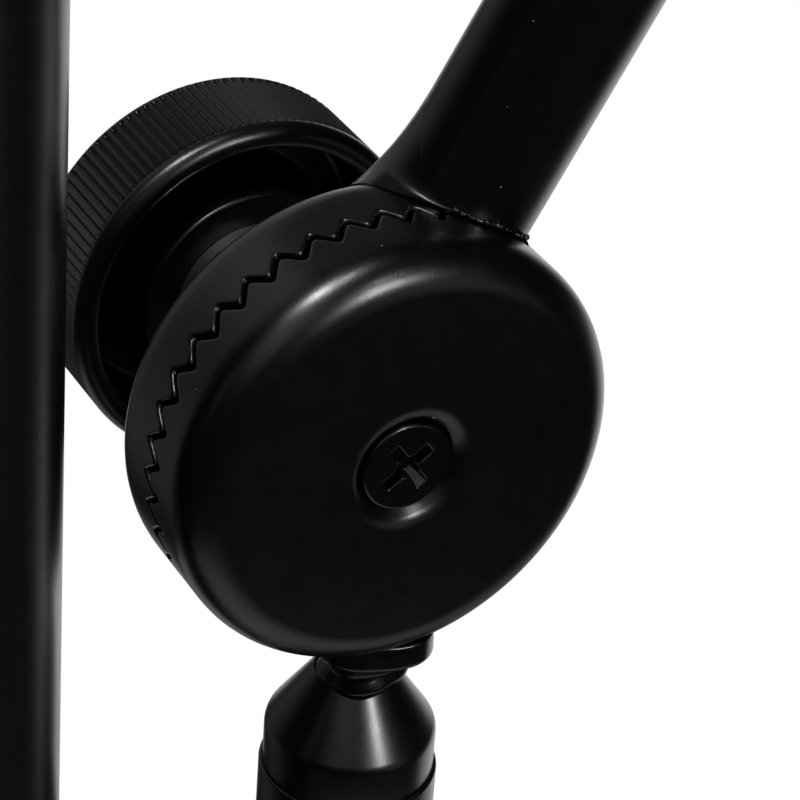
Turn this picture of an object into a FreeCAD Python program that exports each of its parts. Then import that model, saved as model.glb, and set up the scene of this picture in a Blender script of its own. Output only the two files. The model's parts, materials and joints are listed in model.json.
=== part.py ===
import FreeCAD, Part
import math
import os
import re

from FreeCAD import Placement, Rotation, Vector
from Sketcher import Constraint

# A music stand: a three-legged base with a round mast, and beside the mast a thinner post that slides
# up and down. Two toothed cups on the post's head make the tilt joint that carries the arm and desk.
# Millimetres. +Z is up, the musician sits on the -Y side, and the origin is on the floor under the
# middle of the stand's outline.

doc = FreeCAD.newDocument("music_stand")
sheet = doc.addObject("Spreadsheet::Sheet", "Dims")

DIMENSIONS = [
    # tilt joint
    ("joint_height", 760, "tilt axis above the floor, post lowered"),
    ("cup_radius", 24.25, "outside of the toothed cups"),
    ("cup_depth", 8.3, "fixed cup, tooth mid line to face"),
    ("rear_depth", 9.4, "tilting cup, tooth mid line to face"),
    ("cup_wall", 2.5, "sheet the cups are pressed from"),
    ("cup_rounding", 4.4, "outer rounding of the cup face"),
    ("dimple_radius", 7.5, "pressed ring round the screw head"),
    ("dimple_floor", 6.5, "flat inside that ring"),
    ("dimple_depth", 0.5, "depth of that ring"),
    ("tooth_count", 40, "teeth round each cup"),
    ("tooth_reach", 2.1, "tooth tip to root"),
    ("tooth_rounding", 0.45, "radius of tips and roots"),
    ("tooth_gap", 0.7, "axial gap between the cups"),
    ("screw_radius", 3, "M6 pivot screw"),
    ("screw_head", 5.58, "countersunk head"),
    ("screw_end", -36.6, "end of the screw along the pivot"),
    ("cross_width", 1.25, "arm of the screw's cross recess"),
    ("cross_length", 6.2, "span of the cross recess"),
    ("cross_depth", 1.9, "depth of the cross recess"),
    ("cross_turn", 36, "turn of the cross recess, degrees"),
    ("run", 0.05, "radial running clearance"),
    ("free", 0.1, "gap between faces that slide or turn"),
    # knob and the sleeve behind the tilting cup
    ("knob_radius", 20.2, "grip"),
    ("knob_front", -28.1, "front rim along the pivot"),
    ("knob_back", -40.7, "back face along the pivot"),
    ("knob_lip", 17.7, "mouth of the hollow"),
    ("knob_floor", -38, "floor of the hollow"),
    ("knob_hub", 12.4, "hub"),
    ("knob_hub_front", -27.6, "front face of the hub"),
    ("knob_rounding", 2, "back edge"),
    ("insert_radius", 5.5, "brass thread insert"),
    ("insert_end", -38.6, "end of the insert"),
    ("sleeve_radius", 6, "spacer sleeve"),
    ("spigot_radius", 5, "sleeve spigot in the tilting cup"),
    ("washer_radius", 9, "thrust washer"),
    ("washer_thick", 1.6, "thrust washer"),
    ("spring_radius", 7, "release spring, middle of the wire"),
    ("spring_wire", 0.6, "radius of the spring wire"),
    ("spring_coils", 4, "turns of the spring"),
    # post
    ("post_radius", 9.6, "outside of the post tube"),
    ("tube_wall", 1.5, "wall of the post, arm and legs"),
    ("post_top", -42.3, "top of the post tube below the tilt axis"),
    ("post_end", -402, "bottom of the post tube below the tilt axis"),
    ("land_radius", 9.2, "plug above the tube"),
    ("land_top", -37.2, "top of that land"),
    ("land_rounding", 1.9, "shoulder of the plug"),
    ("nose_radius", 4.3, "tip of the plug's cone"),
    ("nose_top", -30, "tip of the plug's cone"),
    ("spigot_end", -62, "bottom of the plug"),
    ("neck_radius", 4.3, "weld between plug and fixed cup"),
    ("neck_shift", 5.2, "weld's shift along the pivot at the cup"),
    # arm
    ("arm_radius", 7.85, "outside of the arm tube"),
    ("arm_shift", 6.35, "arm axis beside the tilt plane"),
    ("arm_lean", 29.5, "lean of the arm, degrees"),
    ("arm_length", 176, "tilt axis to the desk plate's flange"),
    ("weld_width", 2.2, "weld round the arm's foot"),
    ("weld_rise", 3, "weld up the arm tube"),
    # mast, guide and slider
    ("mast_radius", 12.5, "outside of the mast"),
    ("mast_wall", 2, "wall of the mast"),
    ("mast_offset", 47.3, "post axis to mast axis"),
    ("mast_above", 100, "mast top above the tilt axis"),
    ("mast_foot", 24, "mast bottom above the floor"),
    ("cap_radius", 13.6, "mast cap"),
    ("cap_skirt", 7, "mast cap down the tube"),
    ("cap_top", 4, "mast cap above the tube"),
    ("cap_plug", 16, "mast cap's plug inside the tube"),
    ("end_flange", 3, "post end cap below the tube"),
    ("end_plug", 14, "post end cap inside the tube"),
    ("guide_top", -64, "guide block below the tilt axis"),
    ("guide_tall", 40, "guide block"),
    ("boss_wall", 6.5, "block wall round the mast and post"),
    ("bush_wall", 2, "wall of the sliding bushes"),
    ("web_width", 24, "web of the blocks"),
    ("slider_tall", 36, "slider block"),
    ("stud_radius", 4, "clamp stud"),
    ("stud_length", 21, "clamp stud out of the knob"),
    ("pad_thick", 1.6, "clamp pad"),
    ("clamp_radius", 17, "clamp knob"),
    ("clamp_tall", 15, "clamp knob"),
    ("clamp_lobes", 5, "lobes of the clamp knob"),
    ("clamp_seat", 12, "stud's length inside the clamp knob"),
    ("grub_radius", 3, "fixing screws of blocks and hub"),
    # base
    ("hub_radius", 30, "base hub"),
    ("hub_bottom", 20, "base hub above the floor"),
    ("hub_tall", 68, "base hub"),
    ("leg_radius", 9.6, "outside of the legs"),
    ("leg_height", 66, "leg axis above the floor at the mast"),
    ("leg_end_height", 11.5, "leg axis above the floor at its end"),
    ("leg_reach", 310, "leg end from the mast axis"),
    ("leg_root", 17, "leg start from the mast axis, along the leg"),
    ("foot_radius", 13, "rubber foot"),
    ("foot_cover", 40, "length of leg in the rubber foot"),
    ("foot_end", 4, "rubber beyond the leg"),
    ("grub_place", 22, "leg screws from the mast axis"),
    ("grub_long", 9, "leg screws"),
    ("bolt_radius", 4, "mast bolt"),
    ("bolt_long", 24, "mast bolt under its head"),
    ("bolt_head", 5.3, "mast bolt head"),
    ("bolt_washer", 1.6, "mast washer"),
    ("insert_tall", 22, "threaded plug in the mast"),
    # desk
    ("desk_wide", 500, "desk plate"),
    ("desk_deep", 340, "desk plate"),
    ("desk_sheet", 1.2, "desk plate"),
    ("desk_rim", 9, "turned-back edge"),
    ("slot_length", 62, "slots of the desk"),
    ("slot_width", 9, "slots of the desk"),
    ("slot_pitch", 38, "slots of the desk, up the slope"),
    ("slot_rise", 14, "middle row of slots above the desk's middle"),
    ("slot_outer", 190, "outer columns of slots"),
    ("slot_inner", 115, "inner columns of slots"),
    ("slot_middle", 38, "columns of slots above and below the flange"),
    ("flange_wide", 90, "arm flange"),
    ("flange_deep", 70, "arm flange"),
    ("flange_thick", 4, "arm flange"),
    ("flange_pitch_x", 66, "flange screws"),
    ("flange_pitch_y", 46, "flange screws"),
    ("m5_radius", 2.5, "desk screws"),
    ("m5_head", 2.2, "desk screw heads"),
    ("m5_nut", 4, "desk nuts"),
    ("m5_beyond", 6, "desk screws beyond the flange"),
    ("shelf_wide", 470, "music ledge"),
    ("shelf_sheet", 1.5, "music ledge"),
    ("shelf_depth", 34, "music ledge, out from the desk"),
    ("shelf_lip", 20, "front lip of the ledge"),
    ("shelf_back", 26, "ledge's own back, against the desk"),
    ("clip_reach", 96, "page arm"),
    ("clip_width", 11, "page arm"),
    ("clip_sheet", 1.5, "page arm"),
    ("clip_place", 205, "page arm pivots from the middle"),
    ("rivet_radius", 2, "rivets"),
    ("rivet_head", 1.2, "ledge rivet heads"),
    ("rivet_edge", 25, "outer ledge rivets from the ledge's ends"),
]

for row, (alias, value, meaning) in enumerate(DIMENSIONS, start=1):
    sheet.set(f"A{row}", alias)
    sheet.set(f"B{row}", str(value))
    sheet.set(f"C{row}", meaning)
    sheet.setAlias(f"B{row}", alias)
doc.recompute()


CELLS = {alias for alias, _, _ in DIMENSIONS}


def linked(formula):
    """A formula over the sheet's cells, as other objects of the document write it."""
    return re.sub(r"[a-z_]\w*", lambda word: f"Dims.{word[0]}" if word[0] in CELLS else word[0], formula)


def value(formula):
    """The number that a formula over the sheet's cells gives."""
    return float(sheet.evalExpression(formula))


finished = []


def finish(obj, label, place=Placement()):
    """Names a finished sub-part, and puts it in its place."""
    obj.Label = label
    obj.Placement = place.multiply(obj.Placement)
    finished.append(obj)
    return obj


def bind(obj, **formulas):
    """Binds an object's properties to formulas over the sheet's cells."""
    for name, formula in formulas.items():
        obj.setExpression(name, linked(formula))
    return obj


# ---------------------------------------------------------------- building helpers

def outline_sketch(body, plane, points):
    """A closed outline of straight edges, each corner held by two distances bound to the sheet."""
    sketch = body.newObject("Sketcher::SketchObject", "Outline")
    base = next(f for f in body.Origin.OriginFeatures if f.Role == plane)
    sketch.AttachmentSupport = [(base, "")]
    sketch.MapMode = "FlatFace"
    corners = [Vector(value(across), value(along), 0) for across, along in points]
    count = len(corners)
    for i in range(count):
        sketch.addGeometry(Part.LineSegment(corners[i], corners[(i + 1) % count]), False)
    for i in range(count):
        sketch.addConstraint(Constraint("Coincident", i, 2, (i + 1) % count, 1))
    for i, (across, along) in enumerate(points):
        for axis, formula, now in (("DistanceX", across, corners[i].x),
                                   ("DistanceY", along, corners[i].y)):
            index = sketch.addConstraint(Constraint(axis, i, 1, now))
            sketch.setExpression(f"Constraints[{index}]", linked(formula))
    return sketch


def rounded(body, feature, rounds):
    """Rounds the circular edges of a turned body, each found by its radius and height."""
    for size, radius, height in rounds:
        doc.recompute()
        names = [f"Edge{i}" for i, edge in enumerate(feature.Shape.Edges, start=1)
                 if edge.Curve.TypeId == "Part::GeomCircle"
                 and abs(edge.Curve.Radius - value(radius)) < 1e-4
                 and abs(edge.Curve.Center.z - value(height)) < 1e-4]
        fillet = body.newObject("PartDesign::Fillet", "Rounding")
        fillet.Base = (feature, names)
        fillet.setExpression("Radius", linked(size))
        feature = fillet
    return feature


def turned(points, rounds=()):
    """A body of revolution about its own Z, from corners given as (radius, height)."""
    body = doc.addObject("PartDesign::Body", "Turned")
    sketch = outline_sketch(body, "XZ_Plane", points)
    turn = body.newObject("PartDesign::Revolution", "Turn")
    turn.Profile = sketch
    turn.ReferenceAxis = (sketch, ["V_Axis"])
    turn.Angle = 360
    rounded(body, turn, rounds)
    return body


def ring(outer, inner, low, high):
    """A plain turned ring or tube."""
    return turned([(inner, low), (outer, low), (outer, high), (inner, high)])


def rod(radius, low, high):
    """A plain turned rod."""
    return turned([("0", low), (radius, low), (radius, high), ("0", high)])


def extruded(plane, points, length):
    """A straight bar of the given outline, half its length each side of the sketch plane."""
    body = doc.addObject("PartDesign::Body", "Extruded")
    pad = body.newObject("PartDesign::Pad", "Pad")
    pad.Profile = outline_sketch(body, plane, points)
    pad.Midplane = True
    pad.setExpression("Length", linked(length))
    return body


def box(wide, deep, tall, at=(0, 0, 0), turn=Rotation()):
    """A block centred on x and y, standing on z = 0 of its own place."""
    block = bind(doc.addObject("Part::Box", "Block"), Length=wide, Width=deep, Height=tall)
    centre = Vector(-value(wide) / 2, -value(deep) / 2, 0)
    block.Placement = Placement(Vector(*at), turn).multiply(Placement(centre, Rotation()))
    return block


def cylinder(radius, tall, at=(0, 0, 0), turn=Rotation()):
    """A cylinder standing on z = 0 of its own place."""
    bar = bind(doc.addObject("Part::Cylinder", "Bar"), Radius=radius, Height=tall)
    bar.Placement = Placement(Vector(*at), turn)
    return bar


def fuse(*pieces):
    whole = doc.addObject("Part::MultiFuse", "Fused")
    whole.Shapes = list(pieces)
    whole.Refine = True
    return whole


def cut(base, *tools):
    rest = doc.addObject("Part::Cut", "Cut")
    rest.Base = base
    rest.Tool = tools[0] if len(tools) == 1 else fuse(*tools)
    return rest


def group(*pieces):
    """Separate solids that share one node, such as a set of screws."""
    compound = doc.addObject("Part::Compound", "Set")
    compound.Links = list(pieces)
    return compound


# ---------------------------------------------------------------- places

UPRIGHT = Rotation()
X_AXIS, Y_AXIS, Z_AXIS = Vector(1, 0, 0), Vector(0, 1, 0), Vector(0, 0, 1)

# The outline's front is the front foot, and its back is the two rear feet, so the mast stands behind
# the origin by half the difference.
leg_drop = math.atan2(value("leg_height - leg_end_height"), value("leg_reach"))
foot_tip = value("leg_reach") + value("foot_end") * math.cos(leg_drop)
front_reach = foot_tip + value("foot_radius") * math.sin(leg_drop)
rear_reach = foot_tip / 2 + value("foot_radius") * math.hypot(math.cos(math.radians(30)),
                                                              math.sin(leg_drop) / 2)
mast_y = (front_reach - rear_reach) / 2

MAST = Placement(Vector(0, mast_y, 0), UPRIGHT)
JOINT = Vector(0, mast_y - value("mast_offset"), value("joint_height"))
POST = Placement(JOINT, UPRIGHT)
# The pivot's own Z runs from the knob to the screw head, which is towards -X.
PIVOT = Placement(JOINT, Rotation(Y_AXIS, -90))
ARM = Placement(JOINT + Vector(value("arm_shift"), 0, 0), Rotation(X_AXIS, value("arm_lean")))
DESK = ARM.multiply(Placement(Vector(0, 0, value("arm_length + flange_thick")), UPRIGHT))


# ---------------------------------------------------------------- toothed cups

def tooth_cutter(turn):
    """The waste between the teeth: one straight-sided prism per tooth, laid round the pivot.

    Each prism's edge is one wave, from tooth tip to root to tip: an arc at each tip and root, and a
    straight flank tangent to both. The flank's slope is found by halving.
    """
    half_pitch = math.pi * value("cup_radius / tooth_count")
    half_reach = value("tooth_reach / 2")
    arc = value("tooth_rounding")
    low, high = math.radians(20), math.radians(85)
    for _ in range(50):
        slope = (low + high) / 2
        flank = (half_pitch - 2 * arc * math.sin(slope)) / math.cos(slope)
        rise = 2 * arc * (1 - math.cos(slope)) + flank * math.sin(slope)
        low, high = (slope, high) if rise < 2 * half_reach else (low, slope)

    def tip_point(angle, side):
        return Vector(0, side * (half_pitch - arc * math.sin(angle)),
                      -half_reach + arc * (1 - math.cos(angle)))

    def root_point(angle, side):
        return Vector(0, side * arc * math.sin(angle), half_reach - arc * (1 - math.cos(angle)))

    below = -2 * half_reach
    edges = [Part.LineSegment(Vector(0, -half_pitch, below), tip_point(0, -1)),
             Part.Arc(tip_point(0, -1), tip_point(slope / 2, -1), tip_point(slope, -1)),
             Part.LineSegment(tip_point(slope, -1), root_point(slope, -1)),
             Part.Arc(root_point(slope, -1), root_point(0, 1), root_point(slope, 1)),
             Part.LineSegment(root_point(slope, 1), tip_point(slope, 1)),
             Part.Arc(tip_point(slope, 1), tip_point(slope / 2, 1), tip_point(0, 1)),
             Part.LineSegment(tip_point(0, 1), Vector(0, half_pitch, below)),
             Part.LineSegment(Vector(0, half_pitch, below), Vector(0, -half_pitch, below))]
    face = Part.Face(Part.Wire([edge.toShape() for edge in edges]))
    inner = value("cup_radius - cup_wall - 1")
    face.translate(Vector(inner, 0, 0))
    prism = face.extrude(Vector(value("cup_wall + 2"), 0, 0))
    count = round(value("tooth_count"))
    prisms = []
    for i in range(count):
        one = prism.copy()
        one.rotate(Vector(), Z_AXIS, turn + (i + 0.5) * 360 / count)
        prisms.append(one)
    cutter = doc.addObject("Part::Feature", "ToothCutter")
    cutter.Shape = prisms[0].multiFuse(prisms[1:])
    return cutter


def cup(depth, hole, turn):
    """One toothed cup, pressed from sheet, its teeth round z = 0 and its face at the given depth."""
    low = "-tooth_reach * 0.7"
    inner = "cup_radius - cup_wall"
    floor = f"{depth} - dimple_depth"
    blank = turned(
        [("cup_radius", low), ("cup_radius", depth), ("dimple_radius", depth),
         ("dimple_floor", floor)] + hole
        + [("dimple_radius", f"{floor} - cup_wall"),
           ("dimple_radius + 1", f"{depth} - cup_wall"), (inner, f"{depth} - cup_wall"),
           (inner, low)],
        rounds=[("cup_rounding", "cup_radius", depth),
                ("cup_rounding - cup_wall", inner, f"{depth} - cup_wall")])
    return cut(blank, tooth_cutter(turn))


def front_cup():
    """The fixed cup, countersunk for the pivot screw."""
    floor = "cup_depth - dimple_depth"
    hole = [("screw_head + run", floor),
            ("screw_head + run - cup_wall", f"{floor} - cup_wall")]
    return finish(cup("cup_depth", hole, 0), "front_cup", PIVOT)


def rear_cup():
    """The same pressing turned round, half a tooth on, with a plain hole for the sleeve."""
    floor = "rear_depth - dimple_depth"
    hole = [("spigot_radius + run", floor), ("spigot_radius + run", f"{floor} - cup_wall")]
    turned_round = Placement(Vector(0, 0, -value("tooth_gap")), Rotation(X_AXIS, 180))
    half_tooth = 180 / value("tooth_count")
    return finish(cup("rear_depth", hole, half_tooth), "rear_cup", PIVOT.multiply(turned_round))


# ---------------------------------------------------------------- pivot

def pivot_screw():
    """Countersunk screw with a cross recess, its head flush in the fixed cup."""
    top = "cup_depth - dimple_depth"
    blank = turned([("0", "screw_end"), ("screw_radius - 0.5", "screw_end"),
                    ("screw_radius", "screw_end + 0.5"),
                    ("screw_radius", f"{top} - (screw_head - screw_radius)"),
                    ("screw_head", top), ("0", top)])
    floor = value(f"{top} - cross_depth")
    arms = [box("cross_length", "cross_width", "cross_depth + 1", (0, 0, floor),
                Rotation(Z_AXIS, value("cross_turn") + quarter)) for quarter in (0, 90)]
    return finish(cut(blank, *arms), "pivot_screw", PIVOT)


def release_spring():
    """Coil spring that pushes the cups apart when the knob is slackened."""
    wire = value("spring_wire")
    top = value("cup_depth - dimple_depth - cup_wall - free") - wire
    bottom = wire - value("tooth_gap + rear_depth - dimple_depth - cup_wall - free")
    coils = value("spring_coils")
    helix = Part.makeLongHelix((top - bottom) / coils, top - bottom, value("spring_radius"))
    section = Part.Wire(Part.makeCircle(wire, Vector(value("spring_radius"), 0, 0), Y_AXIS))
    spring = doc.addObject("Part::Feature", "Spring")
    spring.Shape = Part.Wire(helix).makePipeShell([section], True, True)
    spring.Placement = Placement(Vector(0, 0, bottom), UPRIGHT)
    return finish(spring, "release_spring", PIVOT)


def thrust_sleeve():
    """Spacer that the tilting cup turns on, and that carries the knob's push."""
    shoulder = "-(tooth_gap + rear_depth - dimple_depth) - run"
    end = "knob_hub_front + free + washer_thick + free"
    inner = "screw_radius + run"
    return finish(
        turned([(inner, end), ("sleeve_radius", end), ("sleeve_radius", shoulder),
                ("spigot_radius", shoulder), ("spigot_radius", f"{shoulder} + cup_wall - free"),
                (inner, f"{shoulder} + cup_wall - free")]),
        "thrust_sleeve", PIVOT)


def thrust_washer():
    return finish(ring("washer_radius", "screw_radius + run", "knob_hub_front + free",
                       "knob_hub_front + free + washer_thick"), "thrust_washer", PIVOT)


def tilt_knob():
    """Moulded grip with a hollow front, a hub and a thread insert."""
    lip = "knob_radius - 1"
    knob = turned(
        [("0", "knob_back"), ("knob_radius", "knob_back"), ("knob_radius", "knob_front - 1"),
         (lip, "knob_front"), ("knob_lip", "knob_front"), ("knob_lip", "knob_floor"),
         ("knob_hub", "knob_floor"), ("knob_hub", "knob_hub_front"),
         ("insert_radius", "knob_hub_front"), ("insert_radius", "insert_end"),
         ("0", "insert_end")],
        rounds=[("knob_rounding", "knob_radius", "knob_back")])
    return finish(knob, "tilt_knob", PIVOT)


def knob_insert():
    return finish(ring("insert_radius", "screw_radius + run", "insert_end", "knob_hub_front"),
                  "knob_insert", PIVOT)


# ---------------------------------------------------------------- post

def post_tube():
    return finish(ring("post_radius", "post_radius - tube_wall", "post_end", "post_top"),
                  "post_tube", POST)


def post_plug():
    """Turned plug that closes the post, with a land and a cone under the weld."""
    inside = "post_radius - tube_wall"
    return finish(
        turned([("0", "spigot_end"), (inside, "spigot_end"), (inside, "post_top"),
                ("land_radius", "post_top"), ("land_radius", "land_top"),
                ("nose_radius", "nose_top"), ("0", "nose_top")],
               rounds=[("land_rounding", "land_radius", "land_top")]),
        "post_plug", POST)


def neck_weld():
    """Weld metal that joins the plug's tip to the rim of the fixed cup, clear of the tilting cup."""
    base, rise = value("nose_top"), value("cup_radius - 1.5") + value("nose_top")
    shift = value("neck_shift")
    lean = Rotation(Y_AXIS, math.degrees(math.atan2(-shift, -rise)))
    blank = cylinder("neck_radius", "14", (0, 0, base - 2), lean)
    plug_side = box("40", "40", "20", (0, 0, base - 20))
    lean_cup = Rotation(Y_AXIS, -90)
    rim = cylinder("cup_radius", "40", (20, 0, 0), lean_cup)
    tilting = cylinder("cup_radius + free * 6", "30",
                       (30 - value("tooth_reach / 2"), 0, 0), lean_cup)
    return finish(cut(blank, plug_side, rim, tilting), "neck_weld", POST)


# ---------------------------------------------------------------- arm

def arm_tube():
    """Tube with its foot coped to sit on the tilting cup, clear of the fixed one."""
    blank = ring("arm_radius", "arm_radius - tube_wall", "cup_radius - 6", "arm_length")
    cope = cylinder("cup_radius + free * 3", "60", (-30, 0, 0), Rotation(Y_AXIS, 90))
    return finish(cut(blank, cope), "arm_tube", ARM)


def arm_weld():
    """Weld metal round the arm's foot, on the tilting cup's rim only."""
    blank = turned([("arm_radius", "cup_radius - 4"), ("arm_radius + weld_width", "cup_radius - 4"),
                    ("arm_radius + weld_width", "cup_radius + 1"),
                    ("arm_radius", "cup_radius + weld_rise")])
    across = Rotation(Y_AXIS, 90)
    cope = cylinder("cup_radius", "60", (-30, 0, 0), across)
    # the tilting cup spans from its teeth to its face; nothing is welded beside it
    toothed_side = value("tooth_gap + tooth_reach / 2 - arm_shift") + 0.3
    face_side = value("tooth_gap + rear_depth - arm_shift")
    beside = box("20", "60", "60", (toothed_side - 10, 0, 0))
    behind = box("20", "60", "60", (face_side + 10, 0, 0))
    return finish(cut(blank, cope, beside, behind), "arm_weld", ARM)


def at_flange_screws(make):
    """Makes one piece at each of the four flange screws."""
    half_x, half_y = value("flange_pitch_x / 2"), value("flange_pitch_y / 2")
    return [make(x, y) for x in (-half_x, half_x) for y in (-half_y, half_y)]


def flange_holes():
    return at_flange_screws(lambda x, y: cylinder("m5_radius + run", "40", (x, y, -20)))


def arm_flange():
    """Plate on the arm's end, screwed under the desk."""
    plate = box("flange_wide", "flange_deep", "flange_thick", (0, 0, -value("flange_thick")))
    return finish(cut(plate, *flange_holes()), "arm_flange", DESK)


def desk_screws():
    """Low round heads on the reading side."""
    top = value("desk_sheet")

    def screw(x, y):
        tall = "flange_thick + desk_sheet + m5_beyond"
        return fuse(cylinder("m5_radius", tall, (x, y, top - value(tall))),
                    cylinder("m5_radius * 1.9", "m5_head", (x, y, top)))
    return finish(group(*at_flange_screws(screw)), "desk_screws", DESK)


def desk_nuts():
    """Hexagon nuts under the flange."""
    under = -value("flange_thick + m5_nut")

    def nut(x, y):
        body = bind(doc.addObject("Part::Prism", "Hexagon"), Circumradius="m5_radius * 1.84",
                    Height="m5_nut")
        body.Polygon = 6
        body.Placement = Placement(Vector(x, y, under), UPRIGHT)
        return cut(body, cylinder("m5_radius + run", "10", (x, y, under - 3)))
    return finish(group(*at_flange_screws(nut)), "desk_nuts", DESK)


# ---------------------------------------------------------------- desk

def rivet_spots():
    """Where rivets hold the ledge's back to the desk plate."""
    span = value("shelf_wide / 2 - rivet_edge")
    height = value("-desk_deep / 2 + shelf_back / 2 + 4")
    return [(x, height) for x in (-span, 0, span)]


def desk_plate():
    """Sheet desk with turned-back edges and rows of slots."""
    deep, rim = value("desk_deep"), value("desk_rim")
    plate = box("desk_wide", "desk_deep", "desk_sheet")
    sides = [box("desk_sheet", "desk_deep", "desk_rim",
                 (side * value("desk_wide - desk_sheet") / 2, 0, -rim)) for side in (-1, 1)]
    ends = [box("desk_wide", "desk_sheet", "desk_rim",
                (0, side * value("desk_deep - desk_sheet") / 2, -rim)) for side in (-1, 1)]
    # the middle columns leave out the rows that the flange covers
    columns = [("slot_outer", range(-3, 4)), ("slot_inner", range(-3, 4)),
               ("slot_middle", (-3, -2, 2, 3))]
    slots = []
    for place, rows in columns:
        for x in (-value(place), value(place)):
            for row in rows:
                y = row * value("slot_pitch") + value("slot_rise")
                slots.append(box("slot_length", "slot_width", "20", (x, y, -10)))
    rivets = [cylinder("rivet_radius + run", "20", (x, y, -10)) for x, y in rivet_spots()]
    return finish(cut(fuse(plate, *sides, *ends), *slots, *rivets, *flange_holes()),
                  "desk_plate", DESK)


# Across is up the desk's slope, and along is out from its face.
SHELF_FOOT = "-desk_deep / 2 + 4"


def desk_shelf():
    """Bent ledge for the music: a back against the desk, a floor, and an upturned lip."""
    face, out = "desk_sheet", "desk_sheet + shelf_depth"
    profile = [(SHELF_FOOT, face), (f"{SHELF_FOOT} + shelf_back", face),
               (f"{SHELF_FOOT} + shelf_back", f"{face} + shelf_sheet"),
               (f"{SHELF_FOOT} + shelf_sheet", f"{face} + shelf_sheet"),
               (f"{SHELF_FOOT} + shelf_sheet", f"{out} - shelf_sheet"),
               (f"{SHELF_FOOT} + shelf_lip", f"{out} - shelf_sheet"),
               (f"{SHELF_FOOT} + shelf_lip", out), (SHELF_FOOT, out)]
    blank = extruded("YZ_Plane", profile, "shelf_wide")
    holes = [cylinder("rivet_radius + run", "20", (x, y, -10)) for x, y in rivet_spots()]
    pivots = [cylinder("rivet_radius + run", "20", (x, y, 20)) for x, y in clip_spots()]
    return finish(cut(blank, *holes, *pivots), "desk_shelf", DESK)


def shelf_rivets():
    """Rivets through the ledge's back and the desk plate."""
    top = value("desk_sheet + shelf_sheet")

    def rivet(x, y):
        shank = cylinder("rivet_radius", "desk_sheet + shelf_sheet", (x, y, 0))
        heads = [cylinder("rivet_radius * 2", "rivet_head", (x, y, z))
                 for z in (top, -value("rivet_head"))]
        return fuse(shank, *heads)
    return finish(group(*[rivet(x, y) for x, y in rivet_spots()]), "shelf_rivets", DESK)


def clip_spots():
    """Pivots of the two page arms on the ledge's lip."""
    height = value(f"{SHELF_FOOT} + shelf_lip / 2 + 1")
    return [(side * value("clip_place"), height) for side in (-1, 1)]


def clip_rivets():
    """Shouldered rivets that the page arms turn on."""
    inner = value("desk_sheet + shelf_depth - shelf_sheet")
    tall = "shelf_sheet + clip_sheet + free * 2"

    def rivet(x, y):
        return fuse(cylinder("rivet_radius", tall, (x, y, inner)),
                    cylinder("rivet_radius * 1.7", "1", (x, y, inner - 1)),
                    cylinder("rivet_radius * 2", "1.4", (x, y, inner + value(tall))))
    return finish(group(*[rivet(x, y) for x, y in clip_spots()]), "clip_rivets", DESK)


def page_arm(label, side):
    """Flat arm that lies along the lip towards the middle, and swings up over the page."""
    x, y = clip_spots()[0 if side < 0 else 1]
    low = value("desk_sheet + shelf_depth + free")
    reach = value("clip_reach")
    bar = fuse(box("clip_reach", "clip_width", "clip_sheet", (x - side * reach / 2, y, low)),
               cylinder("clip_width / 2", "clip_sheet", (x, y, low)),
               cylinder("clip_width / 2", "clip_sheet", (x - side * reach, y, low)))
    pivot = cylinder("rivet_radius + run", "20", (x, y, low - 5))
    return finish(cut(bar, pivot), label, DESK)


# ---------------------------------------------------------------- mast, guide and slider

def mast_tube():
    return finish(ring("mast_radius", "mast_radius - mast_wall", "mast_foot",
                       "joint_height + mast_above"), "mast_tube", MAST)


def mast_cap():
    """Plastic cap over the mast's top, with a plug inside the tube."""
    top = "joint_height + mast_above"
    inside = "mast_radius - mast_wall"
    return finish(
        turned([("0", f"{top} - cap_plug"), (inside, f"{top} - cap_plug"), (inside, top),
                ("mast_radius", top), ("mast_radius", f"{top} - cap_skirt"),
                ("cap_radius", f"{top} - cap_skirt"), ("cap_radius", f"{top} + cap_top"),
                ("0", f"{top} + cap_top")],
               rounds=[("3", "cap_radius", f"{top} + cap_top")]),
        "mast_cap", MAST)


def tube_block(tall, mast_hole, post_hole):
    """A moulded block with a boss round the mast and one round the post, standing on z = 0.

    Its own origin is on the post's axis.
    """
    offset = value("mast_offset")
    mast_boss = cylinder("mast_radius + bush_wall + boss_wall", tall, (0, offset, 0))
    post_boss = cylinder("post_radius + bush_wall + boss_wall", tall)
    web = box("web_width", "mast_offset", tall, (0, offset / 2, 0))
    holes = [cylinder(mast_hole, "100", (0, offset, -10)), cylinder(post_hole, "100", (0, 0, -10))]
    return fuse(mast_boss, post_boss, web), holes


def block_screw(place_y, half_length, inner, tall):
    """A fixing screw that runs along Y at a block's middle height, from inner to the outside."""
    return cylinder("grub_radius", half_length, (0, place_y + inner, tall / 2),
                    Rotation(X_AXIS, -90))


GUIDE = POST.multiply(Placement(Vector(0, 0, value("guide_top - guide_tall")), UPRIGHT))
SLIDER = POST.multiply(Placement(Vector(0, 0, value("post_end")), UPRIGHT))
BACK = Rotation(X_AXIS, -90)
FRONT = Rotation(X_AXIS, 90)


def guide_block():
    """Block fixed to the mast; the post slides through it."""
    blank, holes = tube_block("guide_tall", "mast_radius", "post_radius + bush_wall")
    middle = value("guide_tall / 2")
    holes.append(cylinder("stud_radius + run", "60", (0, 0, middle), FRONT))
    holes.append(cylinder("grub_radius", "60", (0, value("mast_offset"), middle), BACK))
    return finish(cut(blank, *holes), "guide_block", GUIDE)


def guide_bush():
    """Nylon liner between the post and the guide block, with a window for the clamp pad."""
    liner = ring("post_radius + bush_wall", "post_radius + run", "0", "guide_tall")
    window = cylinder("stud_radius + run", "40", (0, 0, value("guide_tall / 2")), FRONT)
    return finish(cut(liner, window), "guide_bush", GUIDE)


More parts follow.
